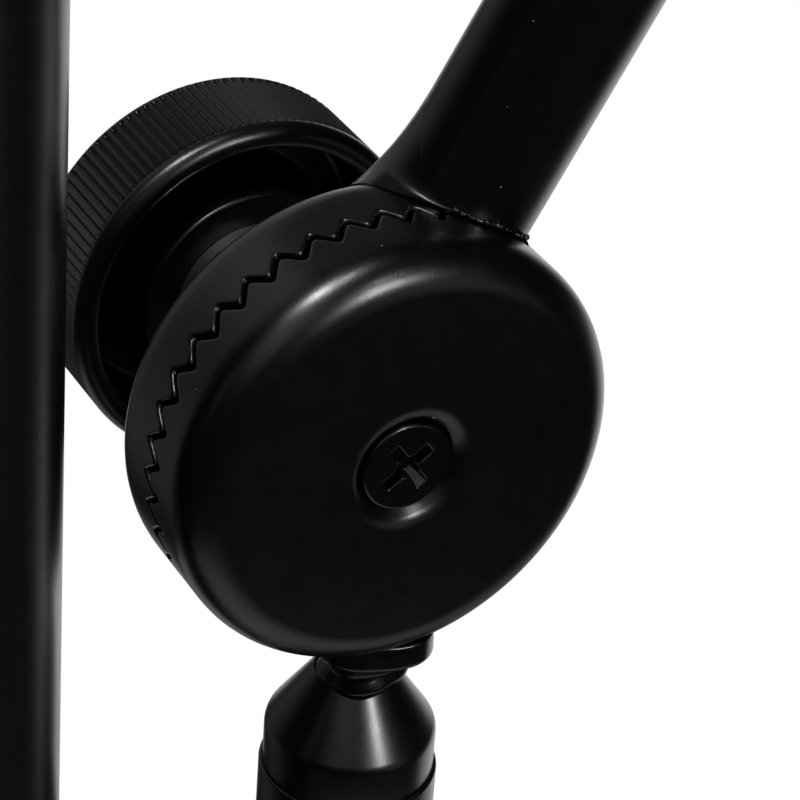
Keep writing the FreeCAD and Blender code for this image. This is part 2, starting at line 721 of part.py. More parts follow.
def guide_screw():
    """Set screw that fixes the guide block to the mast."""
    start = value("mast_offset + mast_radius")
    screw = cylinder("grub_radius", "bush_wall + boss_wall + 1", (0, start, value("guide_tall / 2")),
                     BACK)
    return finish(screw, "guide_screw", GUIDE)


def clamp_pad():
    """Brass pad between the clamp stud and the post."""
    start = -value("post_radius + free")
    pad = cylinder("stud_radius", "pad_thick", (0, start, value("guide_tall / 2")), FRONT)
    return finish(pad, "clamp_pad", GUIDE)


def clamp_stud():
    """Threaded stud of the clamp knob."""
    start = -value("post_radius + free + pad_thick + free")
    stud = cylinder("stud_radius", "stud_length", (0, start, value("guide_tall / 2")), FRONT)
    return finish(stud, "clamp_stud", GUIDE)


def clamp_knob():
    """Five-lobed grip moulded on the stud."""
    start = -value("post_radius + free + pad_thick + free + stud_length - clamp_seat")
    place = Placement(Vector(0, start, value("guide_tall / 2")), FRONT)
    blank = cylinder("clamp_radius", "clamp_tall")
    scallops = []
    lobes = round(value("clamp_lobes"))
    out = value("clamp_radius * 1.25")
    for i in range(lobes):
        turn = math.pi / 2 + 2 * math.pi * i / lobes
        at = (out * math.cos(turn), out * math.sin(turn), -1)
        scallops.append(cylinder("clamp_radius * 0.42", "clamp_tall + 2", at))
    bore = cylinder("stud_radius", "clamp_seat")
    return finish(cut(blank, bore, *scallops), "clamp_knob", GUIDE.multiply(place))


def slider_block():
    """Block fixed to the post's bottom end; it runs on the mast and keeps the post from turning."""
    blank, holes = tube_block("slider_tall", "mast_radius + bush_wall", "post_radius")
    middle = value("slider_tall / 2")
    holes.append(cylinder("grub_radius", "60", (0, 0, middle), FRONT))
    return finish(cut(blank, *holes), "slider_block", SLIDER)


def slider_bush():
    """Nylon liner between the slider block and the mast."""
    liner = ring("mast_radius + bush_wall", "mast_radius + run", "0", "slider_tall")
    liner.Placement = Placement(Vector(0, value("mast_offset"), 0), UPRIGHT)
    return finish(liner, "slider_bush", SLIDER)


def slider_screw():
    """Set screw that fixes the slider block to the post."""
    start = -value("post_radius")
    screw = cylinder("grub_radius", "bush_wall + boss_wall + 1", (0, start, value("slider_tall / 2")),
                     FRONT)
    return finish(screw, "slider_screw", SLIDER)


def post_end_cap():
    """Plastic plug in the post's lower end."""
    inside = "post_radius - tube_wall"
    return finish(
        turned([("0", "post_end - end_flange"), ("post_radius", "post_end - end_flange"),
                ("post_radius", "post_end"), (inside, "post_end"),
                (inside, "post_end + end_plug"), ("0", "post_end + end_plug")]),
        "post_end_cap", POST)


# ---------------------------------------------------------------- base

LEGS = [("front", -90), ("left", 150), ("right", 30)]


def leg_place(heading):
    """The leg's own Z runs out from the mast and down."""
    turn = Rotation(Z_AXIS, heading).multiply(Rotation(Y_AXIS, 90 + math.degrees(leg_drop)))
    return MAST.multiply(Placement(Vector(0, 0, value("leg_height")), turn))


def base_hub():
    """Turned hub with a socket for the mast from above and one for each leg."""
    top = "hub_bottom + hub_tall"
    bottom_web = "mast_foot"
    blank = turned([("bolt_radius + run", "hub_bottom"), ("hub_radius", "hub_bottom"),
                    ("hub_radius", top), ("mast_radius", top), ("mast_radius", bottom_web),
                    ("bolt_radius + run", bottom_web)],
                   rounds=[("3", "hub_radius", top), ("3", "hub_radius", "hub_bottom")])
    out = value("grub_place")
    sockets = []
    for _, heading in LEGS:
        socket = cylinder("leg_radius", "60")
        reach = Placement(Vector(0, 0, value("leg_root")), UPRIGHT)
        socket.Placement = MAST.inverse().multiply(leg_place(heading)).multiply(reach)
        sockets.append(socket)
        angle = math.radians(heading)
        at = (out * math.cos(angle), out * math.sin(angle), value("leg_height"))
        sockets.append(cylinder("grub_radius", "60", at))
    return finish(cut(blank, *sockets), "base_hub", MAST)


def leg(name, heading):
    end = f"leg_reach / cos({math.degrees(leg_drop)})"
    tube = ring("leg_radius", "leg_radius - tube_wall", "leg_root", end)
    mast_room = cylinder("mast_radius", "400", (0, 0, -200))
    mast_room.Placement = leg_place(heading).inverse().multiply(MAST)
    return finish(cut(tube, mast_room), f"{name}_leg", leg_place(heading))


def foot(name, heading):
    """Rubber cap over the leg's end, flat where it stands on the floor."""
    end = f"leg_reach / cos({math.degrees(leg_drop)})"
    cap = turned([("leg_radius", f"{end} - foot_cover"), ("foot_radius", f"{end} - foot_cover"),
                  ("foot_radius", f"{end} + foot_end"), ("0", f"{end} + foot_end"),
                  ("0", end), ("leg_radius", end)])
    floor = box("2000", "2000", "50", (0, 0, 0))
    floor.Placement = leg_place(heading).inverse().multiply(
        Placement(Vector(-1000, -1000, -50), UPRIGHT))
    return finish(cut(cap, floor), f"{name}_foot", leg_place(heading))


def leg_screws():
    """Set screws from above, one on each leg tube."""
    screws = []
    out = value("grub_place")
    low = value("leg_height + leg_radius") - out * math.tan(leg_drop) + 0.6
    for _, heading in LEGS:
        angle = math.radians(heading)
        at = (out * math.cos(angle), out * math.sin(angle), low)
        screws.append(cylinder("grub_radius", "grub_long", at))
    return finish(group(*screws), "leg_screws", MAST)


def mast_insert():
    """Threaded plug in the mast's bottom end."""
    return finish(ring("mast_radius - mast_wall", "bolt_radius + run", "mast_foot",
                       "mast_foot + insert_tall"), "mast_insert", MAST)


def mast_bolt():
    """Bolt from below through the hub into the mast's threaded plug."""
    head = bind(doc.addObject("Part::Prism", "Hexagon"), Circumradius="bolt_radius * 1.87",
                Height="bolt_head")
    head.Polygon = 6
    under = value("hub_bottom - bolt_washer")
    head.Placement = Placement(Vector(0, 0, under - value("bolt_head")), UPRIGHT)
    shank = cylinder("bolt_radius", "bolt_long", (0, 0, under))
    return finish(fuse(head, shank), "mast_bolt", MAST)


def mast_washer():
    return finish(ring("bolt_radius * 2", "bolt_radius + run", "hub_bottom - bolt_washer",
                       "hub_bottom"),
                  "mast_washer", MAST)


for make in (front_cup, rear_cup, pivot_screw, release_spring, thrust_sleeve, thrust_washer, tilt_knob,
             knob_insert, post_tube, post_plug, neck_weld, post_end_cap, arm_tube, arm_weld,
             arm_flange, desk_screws, desk_nuts, desk_plate, desk_shelf, shelf_rivets, clip_rivets,
             mast_tube, mast_cap, guide_block, guide_bush, guide_screw, clamp_pad, clamp_stud,
             clamp_knob, slider_block, slider_bush, slider_screw, base_hub, leg_screws, mast_insert,
             mast_bolt, mast_washer):
    make()
page_arm("left_page_arm", -1)
page_arm("right_page_arm", 1)
for name, heading in LEGS:
    leg(name, heading)
    foot(name, heading)

doc.recompute()
for obj in doc.Objects:
    if "Invalid" in obj.State or "Error" in obj.State:
        raise RuntimeError(f"{obj.Label} failed: {obj.State}")
for obj in finished:
    if obj.Shape.isNull() or not obj.Shape.isValid() or not obj.Shape.Solids:
        raise RuntimeError(f"{obj.Label} has no valid solid")

os.makedirs("parts", exist_ok=True)
whole = FreeCAD.BoundBox()
for obj in finished:
    obj.Shape.exportStep(f"parts/{obj.Label}.step")
    whole.add(obj.Shape.BoundBox)
print(f"{len(finished)} sub-parts, tilt axis at y {JOINT.y:.2f}, mast at y {mast_y:.3f}")
print(f"outline x {whole.XMin:.2f} {whole.XMax:.2f}  y {whole.YMin:.2f} {whole.YMax:.2f}"
      f"  z {whole.ZMin:.2f} {whole.ZMax:.2f}")
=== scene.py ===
import json
import math
import random

import bpy
from mathutils import Matrix, Quaternion, Vector


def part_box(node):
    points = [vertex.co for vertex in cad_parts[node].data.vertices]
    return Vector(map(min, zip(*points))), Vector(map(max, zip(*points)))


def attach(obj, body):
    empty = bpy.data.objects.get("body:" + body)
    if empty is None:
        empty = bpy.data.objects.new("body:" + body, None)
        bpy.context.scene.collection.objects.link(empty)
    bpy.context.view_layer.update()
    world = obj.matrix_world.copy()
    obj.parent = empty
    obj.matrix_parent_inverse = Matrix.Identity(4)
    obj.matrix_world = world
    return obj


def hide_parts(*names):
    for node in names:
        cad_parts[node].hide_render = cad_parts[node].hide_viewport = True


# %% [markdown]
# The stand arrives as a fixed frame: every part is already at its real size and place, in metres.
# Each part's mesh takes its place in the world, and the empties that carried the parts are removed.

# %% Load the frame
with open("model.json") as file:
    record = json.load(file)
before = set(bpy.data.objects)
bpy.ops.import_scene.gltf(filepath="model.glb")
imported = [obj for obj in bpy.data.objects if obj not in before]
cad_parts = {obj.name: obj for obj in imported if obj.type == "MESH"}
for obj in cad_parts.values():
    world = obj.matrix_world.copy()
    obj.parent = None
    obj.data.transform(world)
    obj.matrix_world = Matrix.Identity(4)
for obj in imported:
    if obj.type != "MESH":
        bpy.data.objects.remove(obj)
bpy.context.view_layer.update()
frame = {"nodes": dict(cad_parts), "record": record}
record = frame["record"]
slot_of = {part["node"]: part["material_slot"] for part in record["subparts"]}
body_of = {node: body for body, nodes in record["behaviour"]["bodies"].items() for node in nodes}
mm = 0.001

# %% [markdown]
# Operators act on everything that is selected, and the frame arrives selected. So each step starts
# from a clean selection, and each piece ends with its place in its mesh and its object at the origin.


# %% Start and end of a step
def clear():
    if bpy.context.object and bpy.context.object.mode != "OBJECT":
        bpy.ops.object.mode_set(mode="OBJECT")
    bpy.ops.object.select_all(action="DESELECT")


def only(piece):
    clear()
    piece.select_set(True)
    bpy.context.view_layer.objects.active = piece


def settle(piece):
    """Move the object's place, turn and scale into its mesh."""
    only(piece)
    bpy.ops.object.transform_apply(location=True, rotation=True, scale=True)


def smooth(piece, angle=40):
    only(piece)
    bpy.ops.object.shade_smooth_by_angle(angle=math.radians(angle))


def closed_and_outward(piece, gap=0.002 * mm):
    """Merge doubled vertices, then point every face outwards."""
    only(piece)
    bpy.ops.object.mode_set(mode="EDIT")
    bpy.ops.mesh.select_all(action="SELECT")
    bpy.ops.mesh.remove_doubles(threshold=gap)
    bpy.ops.mesh.normals_make_consistent(inside=False)
    bpy.ops.object.mode_set(mode="OBJECT")


finished = []
replaced = set()


def belongs(piece, node, *more_nodes):
    """A finished piece rides with its part's body and takes its finish from the part's slot."""
    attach(piece, body_of[node])
    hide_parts(node, *more_nodes)
    finished.append((piece, slot_of[node]))
    replaced.add(node)
    print(f"{piece.name}: {len(piece.data.polygons)} faces, rides on {body_of[node]}")


# %% [markdown]
# Most of this stand is tube, bar and pressings, so most pieces are bodies of revolution. A lathe is the
# natural way: draw half the section as a chain of points, with real roundings at its corners, and
# spin it about the axis. A section that does not reach the axis is closed on itself, like a tube wall.


# %% A lathe
def rounded(corners, closed=False, bow=9):
    """Corners (along, radius, rounding) as points (along, radius), with an arc at each rounding."""
    points = []
    count = len(corners)
    for i, (along, radius, rounding) in enumerate(corners):
        here = Vector((along, radius))
        if not rounding or (not closed and i in (0, count - 1)):
            points.append(here)
            continue
        back = (Vector(corners[i - 1][:2]) - here).normalized()
        ahead = (Vector(corners[(i + 1) % count][:2]) - here).normalized()
        half = back.angle(ahead) / 2
        reach = rounding / math.tan(half)
        centre = here + (back + ahead).normalized() * (rounding / math.sin(half))
        first = here + back * reach - centre
        last = here + ahead * reach - centre
        sweep = math.pi - 2 * half
        steps = max(2, math.ceil(math.degrees(sweep) / bow))
        for k in range(steps + 1):
            t = k / steps
            spoke = first * math.sin((1 - t) * sweep) + last * math.sin(t * sweep)
            points.append(centre + spoke / math.sin(sweep))
    return [(p.x, p.y) for p in points]


def wire(name, points):
    """A chain of edges through the points, left in edit mode and selected."""
    clear()
    bpy.ops.mesh.primitive_plane_add(size=mm, location=points[0])
    piece = bpy.context.object
    piece.name = name
    bpy.ops.object.mode_set(mode="EDIT")
    bpy.ops.mesh.merge(type="CENTER")
    for here, there in zip(points, points[1:]):
        bpy.ops.mesh.extrude_region_move(TRANSFORM_OT_translate={"value": there - here})
    bpy.ops.mesh.select_all(action="SELECT")
    return piece


def lathe(name, base, axis, points, steps, closed=False):
    """Spin points (along, radius) about the axis through base."""
    side = Vector((0, 0, 1)) if abs(axis.z) < 0.9 else Vector((0, 1, 0))
    side = (side - axis * side.dot(axis)).normalized()
    chain = [base + axis * along + side * radius for along, radius in points]
    if closed:
        chain.append(chain[0])
    piece = wire(name, chain)
    bpy.ops.mesh.spin(steps=steps, angle=2 * math.pi, center=base, axis=axis)
    bpy.ops.object.mode_set(mode="OBJECT")
    closed_and_outward(piece)
    settle(piece)
    return piece


def around(piece, base, axis, side, place):
    """Move each vertex to place(along, radius, angle), angles from side, about the axis."""
    across = axis.cross(side)
    for vertex in piece.data.vertices:
        arm = vertex.co - base
        along = arm.dot(axis)
        x, y = arm.dot(side), arm.dot(across)
        angle, radius = math.atan2(y, x), math.hypot(x, y)
        along, radius, angle = place(along, radius, angle)
        spoke = side * math.cos(angle) + across * math.sin(angle)
        vertex.co = base + axis * along + spoke * radius
    piece.data.update()


def pace(low, high, count):
    """Evenly spaced values strictly between low and high."""
    return [low + (high - low) * k / (count + 1) for k in range(1, count + 1)]


# %% [markdown]
# The heart of the stand is its tilt joint: two cups, pressed from 2.5 mm sheet, whose rims carry forty
# teeth that mesh like a crown. A press would cut the waves before it draws the cup. Here the
# plain cup is turned on the lathe, with enough steps for sixteen columns a tooth, and the rim is then
# moved along the axis by the tooth wave, which fades out a few millimetres down the wall.

# %% The joint's own sizes
cup_low, cup_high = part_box("front_cup")
pivot = Vector((0, (cup_low.y + cup_high.y) / 2, (cup_low.z + cup_high.z) / 2))
cup_radius = (cup_high.z - cup_low.z) / 2
tooth_count = 40
tooth_half = 1.05 * mm
cup_rim_x = cup_high.x - tooth_half
cup_wall = 2.5 * mm
cup_rounding = 4.4 * mm
dimple_outer, dimple_depth = 7.6 * mm, 0.5 * mm
rim_edge = 0.5 * mm
tooth_fade = 3.8 * mm
X, Y, Z = Vector((1, 0, 0)), Vector((0, 1, 0)), Vector((0, 0, 1))
print("pivot", [round(v, 5) for v in pivot], "cup radius", round(cup_radius, 5))


# %% [markdown]
# The two cups differ only in their depth and their hole, so one function makes both. It walks the section
# from the hole out over the dimpled face, down the wall, round the rim and back inside. Extra rows near
# the rim give the wave something to bend, and the second cup is turned by half a tooth so that they mesh.


# %% Both cups from one pressing
def tooth_wave(angle):
    """One at a tooth's tip, minus one at a root: flanks steeper than a sine's, with round ends."""
    return math.asin(0.86 * math.cos(tooth_count * angle)) / math.asin(0.86)


def toothed_cup(name, base, axis, cup_depth, hole, hole_back, reach, half_tooth):
    """One cup: its rim stands on base and its face looks along the axis."""
    inner = cup_radius - cup_wall
    floor = cup_depth - dimple_depth
    flare = []
    for k in range(9):
        t = k / 8
        flare.append((cup_depth - dimple_depth * (1 - t) ** 2.6, hole + (dimple_outer - hole) * t, 0))
    corners = flare + [(cup_depth, cup_radius, cup_rounding)]
    outside = rounded([(floor - cup_wall, hole_back, 0)] + corners + [(0, cup_radius, 0)])[:-1]
    wall_rows = [(along, cup_radius) for along in reversed(pace(rim_edge, tooth_fade, 7))]
    rim = rounded([(cup_wall, cup_radius, 0), (0, cup_radius, rim_edge), (0, inner, rim_edge),
                   (cup_wall, inner, 0)], bow=22)[1:-1]
    back_rows = [(along, inner) for along in pace(rim_edge, tooth_fade, 7)]
    back = rounded([(0, inner, 0), (cup_depth - cup_wall, inner, cup_rounding - cup_wall),
                    (cup_depth - cup_wall, dimple_outer + mm, 0.6 * mm),
                    (floor - cup_wall, dimple_outer, 0)])[1:]
    cup = lathe(name, base, axis, outside + wall_rows + rim + back_rows + back, tooth_count * 16,
                closed=True)

    def to_wave(along, radius, angle):
        if radius > inner - 0.01 * mm and along < tooth_fade:
            left = min(1, max(0, (tooth_fade - along) / (tooth_fade - 2 * rim_edge)))
            fade = left * left * (3 - 2 * left)
            along -= reach * tooth_wave(angle + half_tooth) * fade
        return along, radius, angle

    around(cup, base, axis, Z, to_wave)
    smooth(cup, 35)
    return cup


screw_head = 5.58 * mm
front_cup = toothed_cup("fixed_toothed_cup", pivot + X * cup_rim_x, -X, cup_rim_x - cup_low.x,
                        screw_head + 0.22 * mm, screw_head - 2.3 * mm, tooth_half, 0)
belongs(front_cup, "front_cup")
rear_low, rear_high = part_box("rear_cup")
rear_rim_x = rear_low.x + tooth_half
rear_cup = toothed_cup("tilting_toothed_cup", pivot + X * rear_rim_x, X, rear_high.x - rear_rim_x,
                       5.05 * mm, 5.05 * mm, 0.9 * tooth_half, math.pi / tooth_count)
belongs(rear_cup, "rear_cup")

# %% [markdown]
# The pivot is a countersunk machine screw with a cross recess. Its head is turned on the lathe, the cross
# is sunk with tapered cutters, and a fine remesh then softens every edge the way that paint
# does when it runs into a recess.


# %% Cutting and fusing helpers
def add_box(name, centre, size, turn=None):
    """A block at its place: size (x, y, z), turned by a quaternion."""
    clear()
    bpy.ops.mesh.primitive_cube_add(size=1, location=centre, scale=size,
                                    rotation=turn.to_euler() if turn else (0, 0, 0))
    block = bpy.context.object
    block.name = name
    settle(block)
    return block


def join(name, pieces):
    clear()
    for piece in pieces:
        piece.select_set(True)
    bpy.context.view_layer.objects.active = pieces[0]
    bpy.ops.object.join()
    pieces[0].name = name
    return pieces[0]


def apply_modifier(piece, kind, **values):
    only(piece)
    modifier = piece.modifiers.new(kind.title(), kind)
    for key, value in values.items():
        setattr(modifier, key, value)
    bpy.ops.object.modifier_apply(modifier=modifier.name)


def cut(piece, tool):
    apply_modifier(piece, "BOOLEAN", operation="DIFFERENCE", object=tool, solver="EXACT")
    bpy.data.objects.remove(tool)


def melt(piece, grain, rounds):
    """Fuse what overlaps into one skin and let it run a little, like paint or molten metal."""
    apply_modifier(piece, "REMESH", mode="VOXEL", voxel_size=grain, use_smooth_shade=True)
    apply_modifier(piece, "SMOOTH", factor=0.5, iterations=rounds)
    only(piece)
    bpy.ops.object.shade_smooth()


# %% [markdown]
# A cross recess could be drawn as a texture, but it catches light on its walls, so it is cut. Two long
# blocks make the arms and a third, turned by 45 degrees, opens the middle. Each is narrower at its deep
# end, as a driver's tip is. The plain shank needs no softening, so it is turned as a piece of its own.

# %% The pivot screw
screw_low, screw_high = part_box("pivot_screw")
shank = 3.0 * mm
head_top = pivot.x - screw_low.x
head_rise = screw_head - shank
screw_points = rounded([(head_top - 9 * mm, 0, 0), (head_top - 9 * mm, shank, 0.2 * mm),
                        (head_top - head_rise, shank, 0.2 * mm), (head_top, screw_head, 0.4 * mm),
                        (head_top, 0, 0)])
screw = lathe("cross_head", pivot, -X, screw_points, 96)
recess_turn = math.radians(-36)
recess_depth = 1.9 * mm
recess_cuts = [(0, 1.8 * mm, 9.0 * mm), (math.pi / 2, 1.8 * mm, 9.0 * mm),
               (math.pi / 4, 3.6 * mm, 3.6 * mm)]
cutters = []
for extra, wide, long in recess_cuts:
    turn = Quaternion(X, recess_turn + extra)
    arm = add_box("recess_arm", pivot - X * head_top, (2 * recess_depth, wide, long), turn)
    for vertex in arm.data.vertices:
        if vertex.co.x > -head_top:                     # the deep end is the narrow one
            for direction, keep in ((turn @ Y, 0.5), (turn @ Z, 0.36)):
                offset = (vertex.co - pivot).dot(direction)
                vertex.co -= direction * offset * (1 - keep)
    cutters.append(arm)
for cutter in cutters:
    cut(screw, cutter)
melt(screw, 0.085 * mm, 2)
print("recess", round(recess_depth / mm, 2), "mm deep from", len(cutters), "cutters")
shank_points = rounded([(-screw_high.x, 0, 0), (-screw_high.x, shank, 0.5 * mm),
                        (head_top - 8.5 * mm, shank, 0), (head_top - 8.5 * mm, 0, 0)])
shank_piece = lathe("shank", pivot, -X, shank_points, 64)
smooth(shank_piece)
screw = join("cross_recess_pivot_screw", [screw, shank_piece])
belongs(screw, "pivot_screw")

# %% [markdown]
# The tilt knob is a hollow plastic moulding: a ribbed skirt for the fingers, a glossy lip that faces the
# cups, a deep annular hollow that saves plastic, and a hub that holds the threaded insert. The ribs run
# along the axis, three degrees apart, so the lathe takes six columns a rib and the skirt is then waved.

# %% The tilt knob
knob_low, knob_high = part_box("tilt_knob")
insert_low, insert_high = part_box("knob_insert")
knob_radius = (knob_high.z - knob_low.z) / 2
knob_front, knob_back = knob_low.x, knob_high.x
rib_count, rib_depth = 120, 0.42 * mm
hub_radius = 12.4 * mm
hub_front = insert_low.x
lip_inner = 17.4 * mm
hollow_floor = knob_back - 2.7 * mm
lip_round = 1.5 * mm
skirt_start, skirt_end = knob_front + lip_round + 0.1 * mm, knob_back - 1.4 * mm
insert_radius = (insert_high.z - insert_low.z) / 2
knob_corners = [(hub_front, insert_radius, 0.2 * mm), (hub_front, hub_radius, 0.45 * mm),
                (hollow_floor, hub_radius, 1.2 * mm), (hollow_floor, lip_inner, 1.2 * mm),
                (knob_front, lip_inner, 1.1 * mm), (knob_front, knob_radius, lip_round)]
knob_side = [(skirt_start, knob_radius), (skirt_start + 0.12 * mm, knob_radius)]
knob_side += [(skirt_start + k * 0.1 * mm, knob_radius) for k in range(2, 8)]
knob_side += [(along, knob_radius) for along in pace(skirt_start + mm, skirt_end, 5)]
knob_side += [(skirt_end - 0.2 * mm, knob_radius)]
knob_rear = [(knob_back, knob_radius, 1.4 * mm), (knob_back, 12 * mm, 0),
             (knob_back - 0.6 * mm, 11 * mm, 0.4 * mm), (knob_back - 0.6 * mm, insert_radius, 0)]
knob_points = rounded(knob_corners + [(knob_back, knob_radius, 0)])[:-1] + knob_side
knob_points += rounded([(knob_front, knob_radius, 0)] + knob_rear)[1:]
knob = lathe("ribbed_knob", Vector((0, pivot.y, pivot.z)), X, knob_points, rib_count * 6, closed=True)


def to_ribs(along, radius, angle):
    if radius > knob_radius - 0.2 * mm:
        start = min(1, max(0, (along - skirt_start) / (0.12 * mm)))
        stop = min(1, max(0, (knob_back - 0.9 * mm - along) / (0.5 * mm)))
        valley = 0.5 - 0.5 * math.cos(rib_count * angle)
        pit = max(0, 1 - abs(along - skirt_start - 0.3 * mm) / (0.3 * mm))
        radius -= (rib_depth + 0.22 * mm * pit) * valley * min(start, stop)
    return along, radius, angle


around(knob, Vector((0, pivot.y, pivot.z)), X, Z, to_ribs)
smooth(knob, 50)
belongs(knob, "tilt_knob")

# %% [markdown]
# Two tubes and a plug make the post: a 19.2 mm tube, and a turned plug that is pressed into its end and
# tapers to the neck where the fixed cup is welded on. The mast beside it is a thicker tube. All their
# ends are deburred, so each edge has a small rounding that catches the light.


# %% Tubes and the plug
def tube(name, base, axis, length, radius, wall, edge, steps):
    points = rounded([(0, radius - wall, edge / 2), (0, radius, edge), (length, radius, edge),
                      (length, radius - wall, edge / 2)], closed=True, bow=20)
    piece = lathe(name, base, axis, points, steps, closed=True)
    smooth(piece)
    return piece


post_low, post_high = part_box("post_tube")
post_radius = (post_high.x - post_low.x) / 2
post_foot = Vector((pivot.x, pivot.y, post_low.z))
post = tube("sliding_post", post_foot, Z, post_high.z - post_low.z, post_radius, 1.2 * mm, 0.35 * mm,
            160)
belongs(post, "post_tube")

plug_low, plug_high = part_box("post_plug")
plug_radius = (plug_high.x - plug_low.x) / 2
neck_radius = 4.3 * mm
shoulder = plug_high.z - 7.2 * mm
bore = post_radius - 1.25 * mm
plug_points = rounded([(plug_low.z, 0, 0), (plug_low.z, bore, 0.4 * mm), (post_high.z, bore, 0.1 * mm),
                       (post_high.z, plug_radius, 0.25 * mm), (shoulder, plug_radius, 2.0 * mm),
                       (plug_high.z, neck_radius, 0.3 * mm), (plug_high.z, 0, 0)])
plug = lathe("tapered_plug", Vector((pivot.x, pivot.y, 0)), Z, plug_points, 160)
smooth(plug)
belongs(plug, "post_plug")

mast_low, mast_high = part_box("mast_tube")
mast_radius = (mast_high.x - mast_low.x) / 2
mast_foot = Vector(((mast_low.x + mast_high.x) / 2, (mast_low.y + mast_high.y) / 2, mast_low.z))
mast = tube("mast", mast_foot, Z, mast_high.z - mast_low.z, mast_radius, 1.5 * mm, 0.3 * mm, 192)
belongs(mast, "mast_tube")

# %% [markdown]
# The arm is a tube that leans towards the reader and lands on the rear cup. Its end is coped, which
# means that it is milled to the cup's own radius so that it sits down all round. The plain tube is
# turned first, and its lower rows then drop on to a cylinder just outside the cups.

# %% The coped arm tube
arm_low, arm_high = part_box("arm_tube")
arm_radius = (arm_high.x - arm_low.x) / 2
arm_foot = Vector(((arm_low.x + arm_high.x) / 2, pivot.y, pivot.z))
plate_normal = Vector(record["mounts"][-1]["axis"])
arm_axis = Vector((0, -plate_normal.z, plate_normal.y)).normalized()
arm_length = 176 * mm
cope_radius = cup_radius + 0.3 * mm
arm_side = arm_axis.cross(X)
arm = tube("leaning_arm", arm_foot, arm_axis, arm_length, arm_radius, 1.5 * mm, 0.3 * mm, 160)


def to_cope(along, radius, angle):
    if along < arm_length / 2:
        across = radius * math.sin(angle)
        along += math.sqrt(cope_radius ** 2 - across ** 2)
    return along, radius, angle


around(arm, arm_foot, arm_axis, X, to_cope)
belongs(arm, "arm_tube")
print("arm leans", round(math.degrees(math.asin(-arm_axis.y)), 2), "degrees")

# %% [markdown]
# The welds are what a hand torch leaves: a lump between the plug's tip and the fixed cup, and a seam
# where the arm stands on the tilting cup. Two helpers serve them: a round drop, and an uneven skin.


# %% Drops and uneven skin
def drop(centre, size):
    """One round blob of paint or weld metal: centre and half sizes, in metres."""
    clear()
    bpy.ops.mesh.primitive_uv_sphere_add(segments=32, ring_count=20, radius=1, location=centre,
                                         scale=size)
    blob = bpy.context.object
    settle(blob)
    return blob


def ripple(piece, depth, size, seed):
    """Uneven skin: a soft cloud pushes the surface in and out."""
    cloud = bpy.data.textures.new("weld_ripple", "CLOUDS")
    cloud.noise_scale = size
    cloud.noise_basis = "IMPROVED_PERLIN"
    only(piece)
    shift = Vector((seed, seed, seed))
    piece.data.transform(Matrix.Translation(shift))
    apply_modifier(piece, "DISPLACE", texture=cloud, strength=depth, texture_coords="LOCAL")
    piece.data.transform(Matrix.Translation(-shift))


# %% [markdown]
# Blobs fused into a lump look like a string of pearls, which a real weld is not. So the neck weld is a
# turned collar with a waist. Its upper part is then pushed to one side, and a cloud makes it uneven.


# %% The neck weld
def ease(value, low, high):
    t = min(1, max(0, (value - low) / (high - low)))
    return t * t * (3 - 2 * t)


overhang = math.atan2(-0.862, -0.508)     # the side to which the lobe hangs over
neck_at = pivot + Vector((-1.3, -0.2, 0)) * mm
neck_corners = [(-30.7, 0, 0), (-30.7, 3.9, 0.5), (-29.4, 4.7, 1.0), (-27.6, 4.0, 1.2),
                (-26.2, 5.3, 1.0), (-23.4, 5.2, 0.3), (-23.4, 0, 0)]
neck_line = rounded([(z * mm, r * mm, e * mm) for z, r, e in neck_corners], bow=7)
neck_points = []
for here, there in zip(neck_line, neck_line[1:]):
    neck_points += [here, ((here[0] + there[0]) / 2, (here[1] + there[1]) / 2)]
neck_points.append(neck_line[-1])
neck_weld = lathe("neck_weld_lump", neck_at, Z, neck_points, 96)


def to_lobe(along, radius, angle):
    """Two passes of the torch: a collar at the plug's tip and a lobe that hangs over to one side."""
    aside = max(0, math.cos(angle - overhang))
    upper = ease(along, -28.6 * mm, -26.4 * mm)
    radius *= 1 + upper * (0.34 * aside ** 3 + 0.05 * math.cos(3 * angle + 0.6))
    radius *= 1 + (1 - upper) * 0.06 * math.cos(4 * angle + 2.0)
    along += 0.5 * mm * (1 - upper) * math.cos(angle - overhang)
    return along, radius, angle


around(neck_weld, neck_at, Z, X, to_lobe)
for vertex in neck_weld.data.vertices:          # the weld stays clear of the tilting cup
    if vertex.co.x > -0.6 * mm:
        vertex.co.z = min(vertex.co.z, pivot.z - 24.7 * mm)
ripple(neck_weld, 0.35 * mm, 3.2 * mm, 0.37)
smooth(neck_weld, 50)
belongs(neck_weld, "neck_weld")

# %% [markdown]
# The arm weld is a fillet: a concave run of metal that climbs the tube on one leg and spreads over the
# rear cup's rim on the other. It must stay off the fixed cup, or the joint could not tilt. A small ring
# of that section is turned about the arm, then each of its points is moved by the angle round the
# tube: long legs at the back, where the torch dwelt, short ones at the front.


# %% The arm weld
toothed_side = rear_rim_x + 0.7 * mm
face_side = rear_high.x - 0.25 * mm
legs = [(1, 0), (0.72, 0.03), (0.5, 0.09), (0.33, 0.17), (0.19, 0.3), (0.09, 0.48), (0.03, 0.72), (0, 1)]
section = [(up * mm, arm_radius + out * mm) for up, out in legs]
section += [(-0.5 * mm, arm_radius + 0.9 * mm), (-0.5 * mm, arm_radius - 0.6 * mm),
            (0.9 * mm, arm_radius - 0.6 * mm)]
fillet = lathe("arm_weld_fillet", arm_foot, arm_axis, section, 160, closed=True)


def rim_seat(x):
    """Radius of the rear cup's outside at x, with its rounding."""
    past = x - (rear_high.x - cup_rounding)
    if past <= 0:
        return cup_radius
    return cup_radius - cup_rounding + math.sqrt(max(cup_rounding ** 2 - past ** 2, 0))


